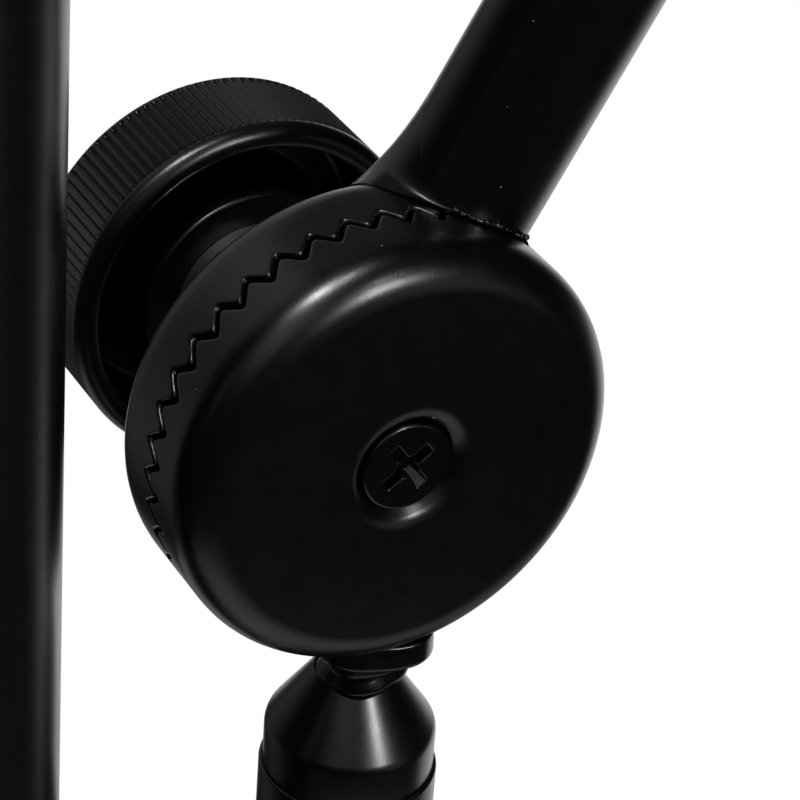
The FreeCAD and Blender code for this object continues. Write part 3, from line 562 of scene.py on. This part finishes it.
def seam(piece):
    """Move the plain ring on to the seam: legs by the angle round the tube, foot on the cup."""
    for vertex in piece.data.vertices:
        arm_vector = vertex.co - arm_foot
        up = arm_vector.dot(arm_axis) / mm
        x, y = arm_vector.x, arm_vector.dot(arm_side)
        angle, radius = math.atan2(y, x), math.hypot(x, y)
        out = (radius - arm_radius) / mm
        upper = ease(angle, 0.05, 0.8) * (1 - ease(angle, 0.8, 2.35))
        lower = ease(-angle, 1.2, 1.6) * (1 - ease(-angle, 2.0, 2.4))
        leg_up = 0.3 + 8.0 * upper + 1.2 * lower
        leg_out = 0.08 + 4.4 * upper + 0.9 * lower
        foot = min(max(out, 0), 1)
        reach = arm_radius + out * leg_out * mm if out > 0 else radius
        x, y = reach * math.cos(angle), reach * math.sin(angle)
        held = min(max(arm_foot.x + x, toothed_side), face_side)
        tied = foot * max(upper, lower)
        world_x = (arm_foot.x + x) * (1 - tied) + held * tied
        seat = cope_radius * (1 - tied) + (rim_seat(held) - 0.12 * mm) * tied
        along = math.sqrt(seat ** 2 - y ** 2) + up * (leg_up if up > 0 else 0.1) * mm
        vertex.co = Vector((world_x, arm_foot.y, arm_foot.z)) + arm_axis * along + arm_side * y
    piece.data.update()


seam(fillet)
smooth(fillet, 60)

# %% [markdown]
# Paint gathers as small beads where the tube meets the cup, and sparks leave a few grains of metal. They
# are flattened drops of a few sizes, set along the front seam by dice that always fall the same way.

# %% Beads of paint and spatter along the front seam
bead_dice = random.Random(11)
beads = []
for k in range(22):
    angle = math.radians(142 + 92 * k / 21 + bead_dice.uniform(-2.5, 2.5))
    across = arm_radius * math.sin(angle)
    lift = math.sqrt(cope_radius ** 2 - across ** 2) + bead_dice.uniform(0.12, 0.3) * mm
    spoke = X * math.cos(angle) + arm_side * math.sin(angle)
    place = arm_foot + arm_axis * lift + spoke * (arm_radius + 0.02 * mm)
    size = bead_dice.choice((0.1, 0.14, 0.2, 0.3)) * mm
    beads.append(drop(place, Vector((size * 1.3, size * bead_dice.uniform(0.8, 1.9), size))))
arm_weld = join("arm_weld_run", [fillet] + beads)
belongs(arm_weld, "arm_weld")

# %% [markdown]
# The desk is sheet metal on the end of the arm. Everything on it is drawn flat, in the desk's own plane,
# as an outline with rounded corners that is pulled up to its thickness, and then it is carried to the
# desk's place. The plate itself is a shallow tray with bent edges and rows of slots.


# %% Outlines pulled up to a thickness
def pulled(name, corners, low, high, edge=0.0):
    """A flat outline of corners (x, y, rounding), pulled up from low to high, with soft edges."""
    piece = wire(name, [Vector((x, y, low)) for x, y in rounded(corners, closed=True, bow=15)])
    bpy.ops.mesh.edge_face_add()
    bpy.ops.mesh.extrude_region_move(TRANSFORM_OT_translate={"value": Vector((0, 0, high - low))})
    bpy.ops.object.mode_set(mode="OBJECT")
    closed_and_outward(piece)
    settle(piece)
    if edge:
        soften(piece, edge)
    return piece


def soften(piece, edge, segments=3):
    """Round every sharp edge, as deburring and paint do."""
    apply_modifier(piece, "BEVEL", width=edge, segments=segments, limit_method="ANGLE",
                   angle_limit=math.radians(35), use_clamp_overlap=True)
    smooth(piece, 30)


def oblong(wide, deep, x=0.0, y=0.0, corner=0.0):
    """Corners of a rectangle about (x, y), all rounded alike."""
    half_x, half_y = wide / 2, deep / 2
    return [(x - half_x, y - half_y, corner), (x + half_x, y - half_y, corner),
            (x + half_x, y + half_y, corner), (x - half_x, y + half_y, corner)]


def copied(piece, place):
    """A copy with its own mesh, moved by the matrix place."""
    twin = piece.copy()
    twin.data = piece.data.copy()
    bpy.context.collection.objects.link(twin)
    twin.data.transform(place)
    return twin


def carried(piece, place):
    piece.data.transform(place)
    return piece


def axes(x, y, z, at):
    """The matrix that carries a local drawing to the axes x, y, z at a point."""
    return Matrix.Translation(at) @ Matrix((x, y, z)).transposed().to_4x4()


flange_thick, desk_sheet, desk_rim = 4 * mm, 1.2 * mm, 9 * mm
desk_wide, desk_deep = 500 * mm, 340 * mm
desk_at = axes(X, arm_side, arm_axis, arm_foot + arm_axis * (arm_length + flange_thick))

# %% [markdown]
# The plate's edges are folded back, which makes a thin sheet stiff. A block without its underside is
# already that folded shape: its edges are rounded first and the sheet gets its thickness after that, so
# the bend is as thick as the rest. One slot is drawn, copied to all its places, and cut in one go.

# %% The desk plate
tray = add_box("desk_tray", (0, 0, (desk_sheet - desk_rim) / 2),
               (desk_wide, desk_deep, desk_rim + desk_sheet))
only(tray)
bpy.ops.object.mode_set(mode="EDIT")
bpy.ops.mesh.select_mode(type="FACE")
bpy.ops.mesh.select_all(action="DESELECT")
bpy.ops.object.mode_set(mode="OBJECT")
for face in tray.data.polygons:
    face.select = face.normal.z < -0.9
bpy.ops.object.mode_set(mode="EDIT")
bpy.ops.mesh.delete(type="ONLY_FACE")
bpy.ops.mesh.select_mode(type="VERT")
bpy.ops.object.mode_set(mode="OBJECT")
soften(tray, 2.6 * mm, 4)
apply_modifier(tray, "SOLIDIFY", thickness=desk_sheet, offset=-1, use_even_offset=True)
slot_pitch, slot_rise = 38 * mm, 14 * mm
slot = pulled("slot", oblong(62 * mm, 9 * mm, corner=4.2 * mm), -14 * mm, 6 * mm)
slots = []
for column, rows in ((190, range(-3, 4)), (115, range(-3, 4)), (38, (-3, -2, 2, 3))):
    for side in (-1, 1):
        for row in rows:
            shift = Vector((side * column * mm, row * slot_pitch + slot_rise, 0))
            slots.append(copied(slot, Matrix.Translation(shift)))
bpy.data.objects.remove(slot)
cut(tray, join("slots", slots))
smooth(tray, 30)
belongs(carried(tray, desk_at), "desk_plate")

# %% [markdown]
# The ledge that carries the pages is one long strip with two bends. Its section is the whole drawing,
# so it is outlined from the side, bend roundings included, and pulled out to the ledge's length.

# %% The ledge, a bent strip
foot_y, face_z = 4 * mm - desk_deep / 2, desk_sheet
ledge_deep, ledge_sheet, back_tall, lip_tall = 34 * mm, 1.5 * mm, 26 * mm, 20 * mm
far_z = face_z + ledge_deep
ledge_line = [(foot_y + back_tall, face_z, 0.4 * mm), (foot_y, face_z, 3 * mm), (foot_y, far_z, 3 * mm),
              (foot_y + lip_tall, far_z, 0.6 * mm), (foot_y + lip_tall, far_z - ledge_sheet, 0.6 * mm),
              (foot_y + ledge_sheet, far_z - ledge_sheet, 1.5 * mm),
              (foot_y + ledge_sheet, face_z + ledge_sheet, 1.5 * mm),
              (foot_y + back_tall, face_z + ledge_sheet, 0.4 * mm)]
ledge = pulled("music_ledge", ledge_line, -235 * mm, 235 * mm, 0.3 * mm)
belongs(carried(ledge, axes(arm_side, arm_axis, X, desk_at.translation)), "desk_shelf")

# %% [markdown]
# A page arm is a flat bar with round ends. The flange is the plate that joins arm and desk, and the weld
# round it is a small concave ring, turned about the arm and joined to the plate.

# %% Page arms and the arm's flange
clip_x, clip_y, clip_reach, clip_width = 205 * mm, foot_y + 11 * mm, 96 * mm, 11 * mm
clip_low = far_z + 0.1 * mm
for side, node_name in ((-1, "left_page_arm"), (1, "right_page_arm")):
    middle = side * (clip_x - clip_reach / 2)
    outline = oblong(clip_reach + clip_width, clip_width, middle, clip_y, 5.4 * mm)
    bar = pulled(node_name + "_bar", outline, clip_low, clip_low + 1.5 * mm, 0.35 * mm)
    belongs(carried(bar, desk_at), node_name)
flange = pulled("arm_flange_plate", oblong(90 * mm, 70 * mm, corner=9 * mm), -flange_thick, 0, 0.6 * mm)
carried(flange, desk_at)
flange_run = []
for up, out in ((-4, -0.3), (-4, 0.1), (-1.6, 0.9), (-0.5, 2.6), (0.3, 3.4), (0.3, -0.3)):
    flange_run.append((arm_length + up * mm, arm_radius + out * mm))
flange_bead = lathe("flange_bead", arm_foot, arm_axis, flange_run, 96, closed=True)
smooth(flange_bead, 70)
belongs(join("arm_flange_plate", [flange, flange_bead]), "arm_flange")

# %% [markdown]
# Screws and rivets are small bodies of revolution. One of each kind is turned, and its copies are placed.

# %% Desk screws and rivets
def placed_copies(name, piece, spots, node_name):
    """Copies at (x, y) spots in the desk's plane, joined to one piece."""
    copies = [copied(piece, desk_at @ Matrix.Translation((x, y, 0))) for x, y in spots]
    bpy.data.objects.remove(piece)
    belongs(join(name, copies), node_name)


def turned_rivet(name, corners):
    points = rounded([(z * mm, r * mm, e * mm) for z, r, e in corners])
    piece = lathe(name, Vector((0, 0, 0)), Z, points, 48)
    smooth(piece, 50)
    return piece


desk_screw = turned_rivet("desk_screw", [(-10, 0, 0), (-10, 2.5, 0.4), (1.2, 2.5, 0), (1.2, 4.7, 0.2),
                                         (3.4, 4.7, 2.0), (3.4, 0, 0)])
for wide, deep in ((1.0 * mm, 4.4 * mm), (4.4 * mm, 1.0 * mm)):
    cut(desk_screw, add_box("recess", (0, 0, 3.6 * mm), (wide, deep, 2.6 * mm)))
smooth(desk_screw, 35)
screw_spots = [(x * mm, y * mm) for x in (-33, 33) for y in (-23, 23)]
placed_copies("desk_screw_set", desk_screw, screw_spots, "desk_screws")
rivet = turned_rivet("ledge_rivet", [(-1.2, 0, 0), (-1.2, 4, 1.0), (0, 4, 0.1), (0, 2, 0), (2.7, 2, 0),
                                     (2.7, 4, 0.1), (3.9, 4, 1.0), (3.9, 0, 0)])
rivet_y = 17 * mm - desk_deep / 2
rivet_spots = [(x * mm, rivet_y) for x in (-210, 0, 210)]
placed_copies("ledge_rivet_set", rivet, rivet_spots, "shelf_rivets")
pin = turned_rivet("page_arm_pin", [(32.7, 0, 0), (32.7, 3.4, 0.7), (33.7, 3.4, 0.1), (33.7, 2, 0),
                                    (36.9, 2, 0), (36.9, 4, 0.1), (38.3, 4, 1.1), (38.3, 0, 0)])
placed_copies("page_arm_pin_set", pin, [(-clip_x, clip_y), (clip_x, clip_y)], "clip_rivets")

# %% [markdown]
# Two moulded blocks hold the post beside the mast: the upper one is fixed to the mast, the lower one to
# the post. Each is a boss round the mast and a smaller one round the post, with a web that flows into
# both, so the outline is drawn from two circles and four fillets.


# %% Guide and slider blocks
def bosses(small, large, apart, half_web, blend):
    """Right half of the outline, from below the small boss to above the large one."""
    half = []
    rise = math.sqrt((small + blend) ** 2 - (half_web + blend) ** 2)
    fall = math.sqrt((large + blend) ** 2 - (half_web + blend) ** 2)
    reach_small = math.atan2(rise, half_web + blend)
    reach_large = math.atan2(fall, half_web + blend)
    for k in range(25):
        angle = -math.pi / 2 + (math.pi / 2 + reach_small) * k / 24
        half.append((small * math.cos(angle), small * math.sin(angle)))
    for k in range(1, 9):
        angle = reach_small * (1 - k / 8)
        half.append((half_web + blend - blend * math.cos(angle), rise - blend * math.sin(angle)))
    for k in range(9):
        angle = reach_large * k / 8
        half.append((half_web + blend - blend * math.cos(angle), apart - fall + blend * math.sin(angle)))
    for k in range(1, 25):
        angle = -reach_large + (math.pi / 2 + reach_large) * k / 24
        half.append((large * math.cos(angle), apart + large * math.sin(angle)))
    return half


def tube_block(name, node_name, mast_hole, post_hole):
    low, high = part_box(node_name)
    apart = mast_foot.y - pivot.y
    half = bosses(pivot.y - low.y, high.y - mast_foot.y, apart, 12 * mm, 6 * mm)
    outline = half + [(-x, y) for x, y in reversed(half[1:-1])]
    block = pulled(name, [(x, y, 0) for x, y in outline], 0, high.z - low.z)
    for y, hole in ((0, post_hole), (apart, mast_hole)):
        drill = [(-mm, 0), (-mm, hole), (60 * mm, hole), (60 * mm, 0)]
        cut(block, lathe("bore", Vector((0, y, 0)), Z, drill, 96))
    soften(block, 1.2 * mm)
    belongs(carried(block, Matrix.Translation((pivot.x, pivot.y, low.z))), node_name)


tube_block("upper_block", "guide_block", mast_radius, post_radius + 2 * mm)
tube_block("lower_block", "slider_block", mast_radius + 2 * mm, post_radius)

# %% [markdown]
# The clamp knob is turned as a round grip on a small foot, bored for its stud. Five shallow bays for the
# fingers are then pressed into its side with one cosine, which keeps every transition soft.

# %% The clamp knob, five soft lobes
grip_low, grip_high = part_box("clamp_knob")
grip_radius = (grip_high.x - grip_low.x) / 2
grip_at = Vector((0, grip_high.y, (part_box("clamp_stud")[0].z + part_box("clamp_stud")[1].z) / 2))
grip_tall = grip_high.y - grip_low.y
grip_line = rounded([(0, 4 * mm, 0.3 * mm), (0, 9.5 * mm, 0.6 * mm), (2.4 * mm, 10.5 * mm, 0.6 * mm),
                     (2.4 * mm, grip_radius, 2.4 * mm), (grip_tall - 0.8 * mm, grip_radius, 3.2 * mm),
                     (grip_tall, 8 * mm, 4 * mm), (grip_tall, 0, 0), (11.9 * mm, 0, 0),
                     (11.9 * mm, 4 * mm, 0)])
grip = lathe("lobed_clamp_knob", grip_at, -Y, grip_line, 160)


def to_lobes(along, radius, angle):
    share = ease(radius, 8 * mm, grip_radius)
    return along, radius * (1 - 0.17 * share * (0.5 + 0.5 * math.cos(5 * angle)) ** 1.4), angle


around(grip, grip_at, -Y, Z, to_lobes)
smooth(grip, 40)
belongs(grip, "clamp_knob")

# %% [markdown]
# The rubber feet are boots over the leg ends: a soft rim, three grip grooves, a rounded toe, and a flat
# where they stand. One is turned on its leg's axis and cut at the floor, and two copies follow it round.

# %% Rubber feet
leg_height, leg_end_height, leg_reach, foot_radius = 66 * mm, 11.5 * mm, 310 * mm, 13 * mm
leg_drop = math.atan2(leg_height - leg_end_height, leg_reach)
leg_root = Vector((mast_foot.x, mast_foot.y, leg_height))
leg_axis = Vector((0, -math.cos(leg_drop), -math.sin(leg_drop)))
leg_end = leg_reach / math.cos(leg_drop)
foot_line = [(leg_end - 40 * mm, 9.6 * mm, 0.3 * mm),
             (leg_end - 40 * mm, foot_radius - 0.8 * mm, 1.2 * mm),
             (leg_end - 34 * mm, foot_radius, 1.5 * mm)]
for k in range(3):
    start = leg_end - (29 - 6 * k) * mm
    foot_line += [(start, foot_radius, 0.3 * mm), (start + 0.5 * mm, foot_radius - 0.9 * mm, 0.4 * mm),
                  (start + 1.7 * mm, foot_radius - 0.9 * mm, 0.4 * mm),
                  (start + 2.2 * mm, foot_radius, 0.3 * mm)]
foot_line += [(leg_end + 4 * mm, foot_radius, 3.5 * mm), (leg_end + 4 * mm, 0, 0), (leg_end, 0, 0),
              (leg_end, 9.6 * mm, 0)]
boot = lathe("front_boot", leg_root, leg_axis, rounded(foot_line), 96)
under = add_box("under_floor", leg_root + leg_axis * leg_end - Z * (leg_end_height + 50 * mm),
                (0.2, 0.2, 0.1))
cut(boot, under)
smooth(boot, 40)
about_mast = Matrix.Translation(leg_root)
boots = [(boot, "front_foot")]
for node_name, heading in (("right_foot", 120), ("left_foot", 240)):
    swing = about_mast @ Matrix.Rotation(math.radians(heading), 4, "Z") @ about_mast.inverted()
    twin = copied(boot, swing)
    twin.name = node_name.replace("foot", "boot")
    boots.append((twin, node_name))
for piece, node_name in boots:
    belongs(piece, node_name)

# %% [markdown]
# Now the finishes. Each is a node tree on Object coordinates, so the grain stays with the piece when a
# joint moves. What several finishes share is a node group that is built once: the grain of a sprayed
# coat, the fine pits of a moulding, and the drawn lines of bare metal.


# %% Node helpers
def node(tree, kind, links=None, **values):
    """Add a node, set its properties, and link or set its inputs by name or number."""
    new = tree.nodes.new(kind)
    for key, value in values.items():
        setattr(new, key, value)
    for key, value in (links or {}).items():
        if isinstance(value, bpy.types.NodeSocket):
            tree.links.new(value, new.inputs[key])
        else:
            new.inputs[key].default_value = value
    return new


COLOUR, NUMBER = "NodeSocketColor", "NodeSocketFloat"


def group(name, inputs):
    """A group that puts out colour, roughness and height: its tree, its inputs, its coordinates."""
    tree = bpy.data.node_groups.new(name, "ShaderNodeTree")
    for label, kind, default in inputs:
        socket = tree.interface.new_socket(name=label, in_out="INPUT", socket_type=kind)
        socket.default_value = default
    for label, kind in (("Colour", COLOUR), ("Roughness", NUMBER), ("Height", NUMBER)):
        tree.interface.new_socket(name=label, in_out="OUTPUT", socket_type=kind)
    place = node(tree, "ShaderNodeTexCoord").outputs["Object"]
    return tree, tree.nodes.new("NodeGroupInput").outputs, place


def put_out(tree, colour, roughness, height):
    node(tree, "NodeGroupOutput", {"Colour": colour, "Roughness": roughness, "Height": height})
    print("group", tree.name, "with", len(tree.nodes), "nodes")


def between(tree, factor, low, high):
    """A number that runs from low to high with the factor."""
    spread = node(tree, "ShaderNodeMapRange", {"Value": factor, "To Min": low, "To Max": high})
    return spread.outputs["Result"]


def maths(tree, operation, a, b=0.0):
    return node(tree, "ShaderNodeMath", {0: a, 1: b}, operation=operation).outputs[0]


def noise(tree, place, scale, detail, roughness=0.5):
    return node(tree, "ShaderNodeTexNoise", {"Vector": place, "Scale": scale, "Detail": detail,
                                             "Roughness": roughness}).outputs["Fac"]


def toned(tree, colour, tone):
    """A colour made lighter or darker by a number near one."""
    return node(tree, "ShaderNodeMix", {"Factor": 1.0, 6: colour, 7: tone},
                data_type="RGBA", blend_type="MULTIPLY").outputs[2]


# %% [markdown]
# Powder coat is sprayed dry and baked. It levels almost flat, but keeps a fine orange peel, and dust
# settles on it as pale specks. The group returns the coat's colour, roughness and height.

# %% Powder coat group
coat_tree, coat_in, place = group(
    "powder_coat_grain",
    [("Colour", COLOUR, (0.01, 0.01, 0.011, 1)), ("Roughness", NUMBER, 0.4), ("Peel", NUMBER, 3200.0),
     ("Dust", NUMBER, 1.0)])
fine = noise(coat_tree, place, coat_in["Peel"], 2.0, 0.55)
broad = noise(coat_tree, place, 420.0, 3.0)
cells = node(coat_tree, "ShaderNodeTexVoronoi", {"Vector": place, "Scale": 330.0})
size = maths(coat_tree, "MULTIPLY", maths(coat_tree, "POWER", cells.outputs["Color"], 2.0), 0.07)
speck = maths(coat_tree, "LESS_THAN", cells.outputs["Distance"], size)
speck = maths(coat_tree, "MULTIPLY", speck, coat_in["Dust"])
shade = toned(coat_tree, coat_in["Colour"], between(coat_tree, broad, 0.82, 1.18))
dusty = node(coat_tree, "ShaderNodeMix", {"Factor": speck, 6: shade, 7: (0.32, 0.32, 0.33, 1)},
             data_type="RGBA").outputs[2]
vary = between(coat_tree, broad, -0.035, 0.035)
put_out(coat_tree, dusty, maths(coat_tree, "ADD", coat_in["Roughness"], vary),
        maths(coat_tree, "ADD", fine, maths(coat_tree, "MULTIPLY", broad, 0.6)))

# %% [markdown]
# Moulded plastic carries the fine pits of the tool that shaped it, and finger wear polishes it in
# patches. Bare metal keeps the fine lines of drawing or turning, and its plating clouds a little.

# %% Moulding and metal groups
mould_tree, mould_in, place = group(
    "moulded_skin",
    [("Colour", COLOUR, (0.02, 0.02, 0.02, 1)), ("Roughness", NUMBER, 0.4), ("Pits", NUMBER, 2600.0)])
pits = node(mould_tree, "ShaderNodeTexVoronoi", {"Vector": place, "Scale": mould_in["Pits"]})
rub = noise(mould_tree, place, 160.0, 5.0, 0.6)
shade = toned(mould_tree, mould_in["Colour"], between(mould_tree, rub, 0.75, 1.25))
vary = between(mould_tree, rub, -0.08, 0.08)
put_out(mould_tree, shade, maths(mould_tree, "ADD", mould_in["Roughness"], vary),
        pits.outputs["Distance"])

metal_tree, metal_in, place = group(
    "drawn_metal",
    [("Colour", COLOUR, (0.6, 0.6, 0.6, 1)), ("Roughness", NUMBER, 0.3), ("Lines", NUMBER, 900.0)])
stretch = node(metal_tree, "ShaderNodeMapping", {"Vector": place, "Scale": (6.0, 1.0, 1.0)})
lines = noise(metal_tree, stretch.outputs[0], metal_in["Lines"], 4.0)
cloud = noise(metal_tree, place, 120.0, 3.0)
shade = toned(metal_tree, metal_in["Colour"], between(metal_tree, cloud, 0.8, 1.15))
vary = between(metal_tree, lines, -0.1, 0.12)
put_out(metal_tree, shade, maths(metal_tree, "ADD", metal_in["Roughness"], vary), lines)

# %% [markdown]
# Each finish is its own material with its own shader, and borrows the changing part, which is colour,
# roughness and height, from one of the three groups. Values that are the same all over stay on the
# shader's sockets. One short function per group keeps the list of finishes easy to read.


# %% One finish from one group
def finish(name, texture, settings, bump, depth, **shader):
    """A material whose colour, roughness and bump come from a shared group."""
    material = bpy.data.materials.new(name)
    material.use_nodes = True
    tree = material.node_tree
    skin = tree.nodes["Principled BSDF"]
    grain = node(tree, "ShaderNodeGroup", node_tree=texture)
    for key, value in settings.items():
        grain.inputs[key].default_value = value
    tree.links.new(grain.outputs["Colour"], skin.inputs["Base Color"])
    tree.links.new(grain.outputs["Roughness"], skin.inputs["Roughness"])
    relief = node(tree, "ShaderNodeBump", {"Height": grain.outputs["Height"], "Strength": bump,
                                           "Distance": depth})
    tree.links.new(relief.outputs["Normal"], skin.inputs["Normal"])
    for key, value in shader.items():
        skin.inputs[key.replace("_", " ")].default_value = value
    return material


def black(level, blue=0.0):
    return (level, level, level * (1 + blue), 1)


def coat(name, level, roughness, peel=3200.0, dust=1.0, bump=0.25, blue=0.06):
    settings = {"Colour": black(level, blue), "Roughness": roughness, "Peel": peel, "Dust": dust}
    return finish(name, coat_tree, settings, bump, 0.03 * mm)


def moulding(name, colour, roughness, pits=2600.0, bump=0.15, **shader):
    settings = {"Colour": colour, "Roughness": roughness, "Pits": pits}
    return finish(name, mould_tree, settings, bump, 0.02 * mm, **shader)


def metal(name, colour, roughness, lines=900.0, bump=0.12):
    settings = {"Colour": colour, "Roughness": roughness, "Lines": lines}
    return finish(name, metal_tree, settings, bump, 0.01 * mm, Metallic=1.0)


finishes = {
    "black_tube": coat("tube_powder_coat", 0.0012, 0.29),
    "black_pressing": coat("cup_powder_coat", 0.0009, 0.28, dust=1.0),
    "weld": coat("coat_over_weld", 0.0009, 0.26, peel=1900.0, dust=0.6, bump=0.25),
    "black_sheet": coat("desk_powder_coat", 0.006, 0.48, peel=2200.0, bump=0.4),
    "black_casting": coat("casting_powder_coat", 0.006, 0.45, peel=1800.0, bump=0.5),
    "black_screw": coat("screw_coat", 0.001, 0.24, peel=2600.0, dust=0.5, bump=0.3),
    "steel": metal("zinc_plated_steel", (0.52, 0.53, 0.55, 1), 0.32),
    "spring_steel": metal("spring_wire", (0.36, 0.35, 0.34, 1), 0.28),
    "brass": metal("turned_brass", (0.62, 0.44, 0.19, 1), 0.27),
    "sleeve_steel": metal("blacked_steel", (0.012, 0.012, 0.013, 1), 0.42),
    "grip": moulding("knob_plastic", black(0.0018), 0.31),
    "moulding": moulding("black_nylon_moulding", black(0.012), 0.46, pits=1500.0, bump=0.3),
    "nylon": moulding("pale_nylon", (0.55, 0.53, 0.48, 1), 0.5, pits=900.0),
    "rubber": moulding("foot_rubber", black(0.018), 0.72, pits=1200.0, bump=0.35),
}


def dress(piece, material):
    piece.data.materials.clear()
    piece.data.materials.append(material)


for piece, slot in finished:
    dress(piece, finishes[slot])
for name, part in frame["nodes"].items():
    if name not in replaced:
        dress(part, finishes[slot_of[name]])
print("finishes:", len(finishes), "pieces:", len(finished), "frame parts kept:",
      len(frame["nodes"]) - len(replaced))

# %% [markdown]
# The studio is a white room seen by the camera, but black paint shows only what it mirrors. So the
# light that the paint sees is a dim room with soft bright patches, each in the direction from which one
# part of the joint gets its sheen. Two soft boxes add the sharper highlights.

# %% Room and lights
scene = bpy.context.scene
scene.view_settings.view_transform = "Standard"
scene.view_settings.look = "None"
view_turn, view_rise, view_roll = math.radians(30.51), math.radians(32.47), math.radians(4.48)
view_far = 334.24 * mm              # from the joint to the lens
toward_eye = Vector((-math.cos(view_rise) * math.cos(view_turn),
                     math.cos(view_rise) * math.sin(view_turn), math.sin(view_rise)))
world = bpy.data.worlds.new("white_room")
scene.world = world
world.use_nodes = True
room = world.node_tree
room.nodes.clear()
direction = node(room, "ShaderNodeTexCoord").outputs["Generated"]


def lobe(toward, start, full, strength):
    """A soft bright patch of sky round a direction."""
    facing = node(room, "ShaderNodeVectorMath", {0: direction, 1: toward}, operation="DOT_PRODUCT")
    patch = node(room, "ShaderNodeMapRange",
                 {"Value": facing.outputs["Value"], "From Min": start, "From Max": full, "To Min": 0.0,
                  "To Max": strength}, interpolation_type="SMOOTHSTEP")
    return patch.outputs["Result"]


patches = [((0.70, -0.55, -0.34), 0.80, 1.0, 1.1), ((0, 0, 1), 0.3, 1.0, 0.10),
           ((0.82, -0.04, 0.57), 0.6, 1.0, 0.40), ((0.78, 0.58, -0.25), 0.84, 1.0, 0.16),
           ((0.2, -0.83, -0.52), 0.93, 0.99, 1.0), ((-0.52, 0.45, 0.72), 0.85, 1.0, 0.6),
           ((-0.85, -0.50, -0.12), 0.955, 1.0, 0.4)]
dim_room = 0.012
glow = node(room, "ShaderNodeValue").outputs[0]
glow.default_value = dim_room
for toward, start, full, strength in patches:
    glow = maths(room, "ADD", glow, lobe(Vector(toward).normalized(), start, full, strength))
unseen = node(room, "ShaderNodeBackground", {"Color": (1, 1, 1, 1), "Strength": glow})
seen = node(room, "ShaderNodeBackground", {"Color": (1, 1, 1, 1), "Strength": 1.0})
to_eye = node(room, "ShaderNodeLightPath").outputs["Is Camera Ray"]
both = node(room, "ShaderNodeMixShader", {0: to_eye, 1: unseen.outputs[0], 2: seen.outputs[0]})
node(room, "ShaderNodeOutputWorld", {"Surface": both.outputs[0]})
print("patches of sky:", len(patches))


def soft_box(name, toward, far, wide, tall, power):
    """A square lamp that hangs in the given direction from the pivot and faces it."""
    clear()
    bpy.ops.object.light_add(type="AREA", location=pivot + toward.normalized() * far)
    lamp = bpy.context.object
    lamp.name = name
    lamp.rotation_euler = toward.to_track_quat("Z", "Y").to_euler()
    lamp.data.shape = "RECTANGLE"
    lamp.data.size, lamp.data.size_y = wide, tall
    lamp.data.energy = power
    return lamp


soft_box("overhead_box", Vector((-0.12, 0.2, 0.95)), 0.9, 0.26, 0.26, 16)
soft_box("side_strip", Vector((-0.81, -0.22, 0.52)), 1.0, 0.14, 0.5, 9)

# %% [markdown]
# The floor is one pale disc under the feet. The camera looks at the joint from the fixed cup's side and
# from above, a little rolled, through a long lens that keeps the cups' round shape.

# %% Floor and camera
clear()
bpy.ops.mesh.primitive_circle_add(vertices=128, radius=0.7, fill_type="NGON", location=(0, 0, 0))
floor = bpy.context.object
floor.name = "pale_floor"
floor_paint = bpy.data.materials.new("pale_floor_paint")
floor_paint.use_nodes = True
floor_skin = floor_paint.node_tree.nodes["Principled BSDF"]
floor_skin.inputs["Base Color"].default_value = (0.55, 0.55, 0.55, 1)
floor_skin.inputs["Roughness"].default_value = 0.6
dress(floor, floor_paint)

look = (-toward_eye).to_track_quat("-Z", "Y") @ Quaternion((0, 0, 1), view_roll)
aim = pivot + look @ Vector((2.86 * mm, 2.80 * mm, 0))
clear()
bpy.ops.object.camera_add(location=aim + toward_eye * view_far, rotation=look.to_euler())
camera = bpy.context.object
camera.name = "viewpoint"
camera.data.lens = 149.13
camera.data.sensor_width = 36
camera.data.clip_start = 0.01
scene.camera = camera
print("camera", round(view_far / mm, 1), "mm from the joint, lens", camera.data.lens)
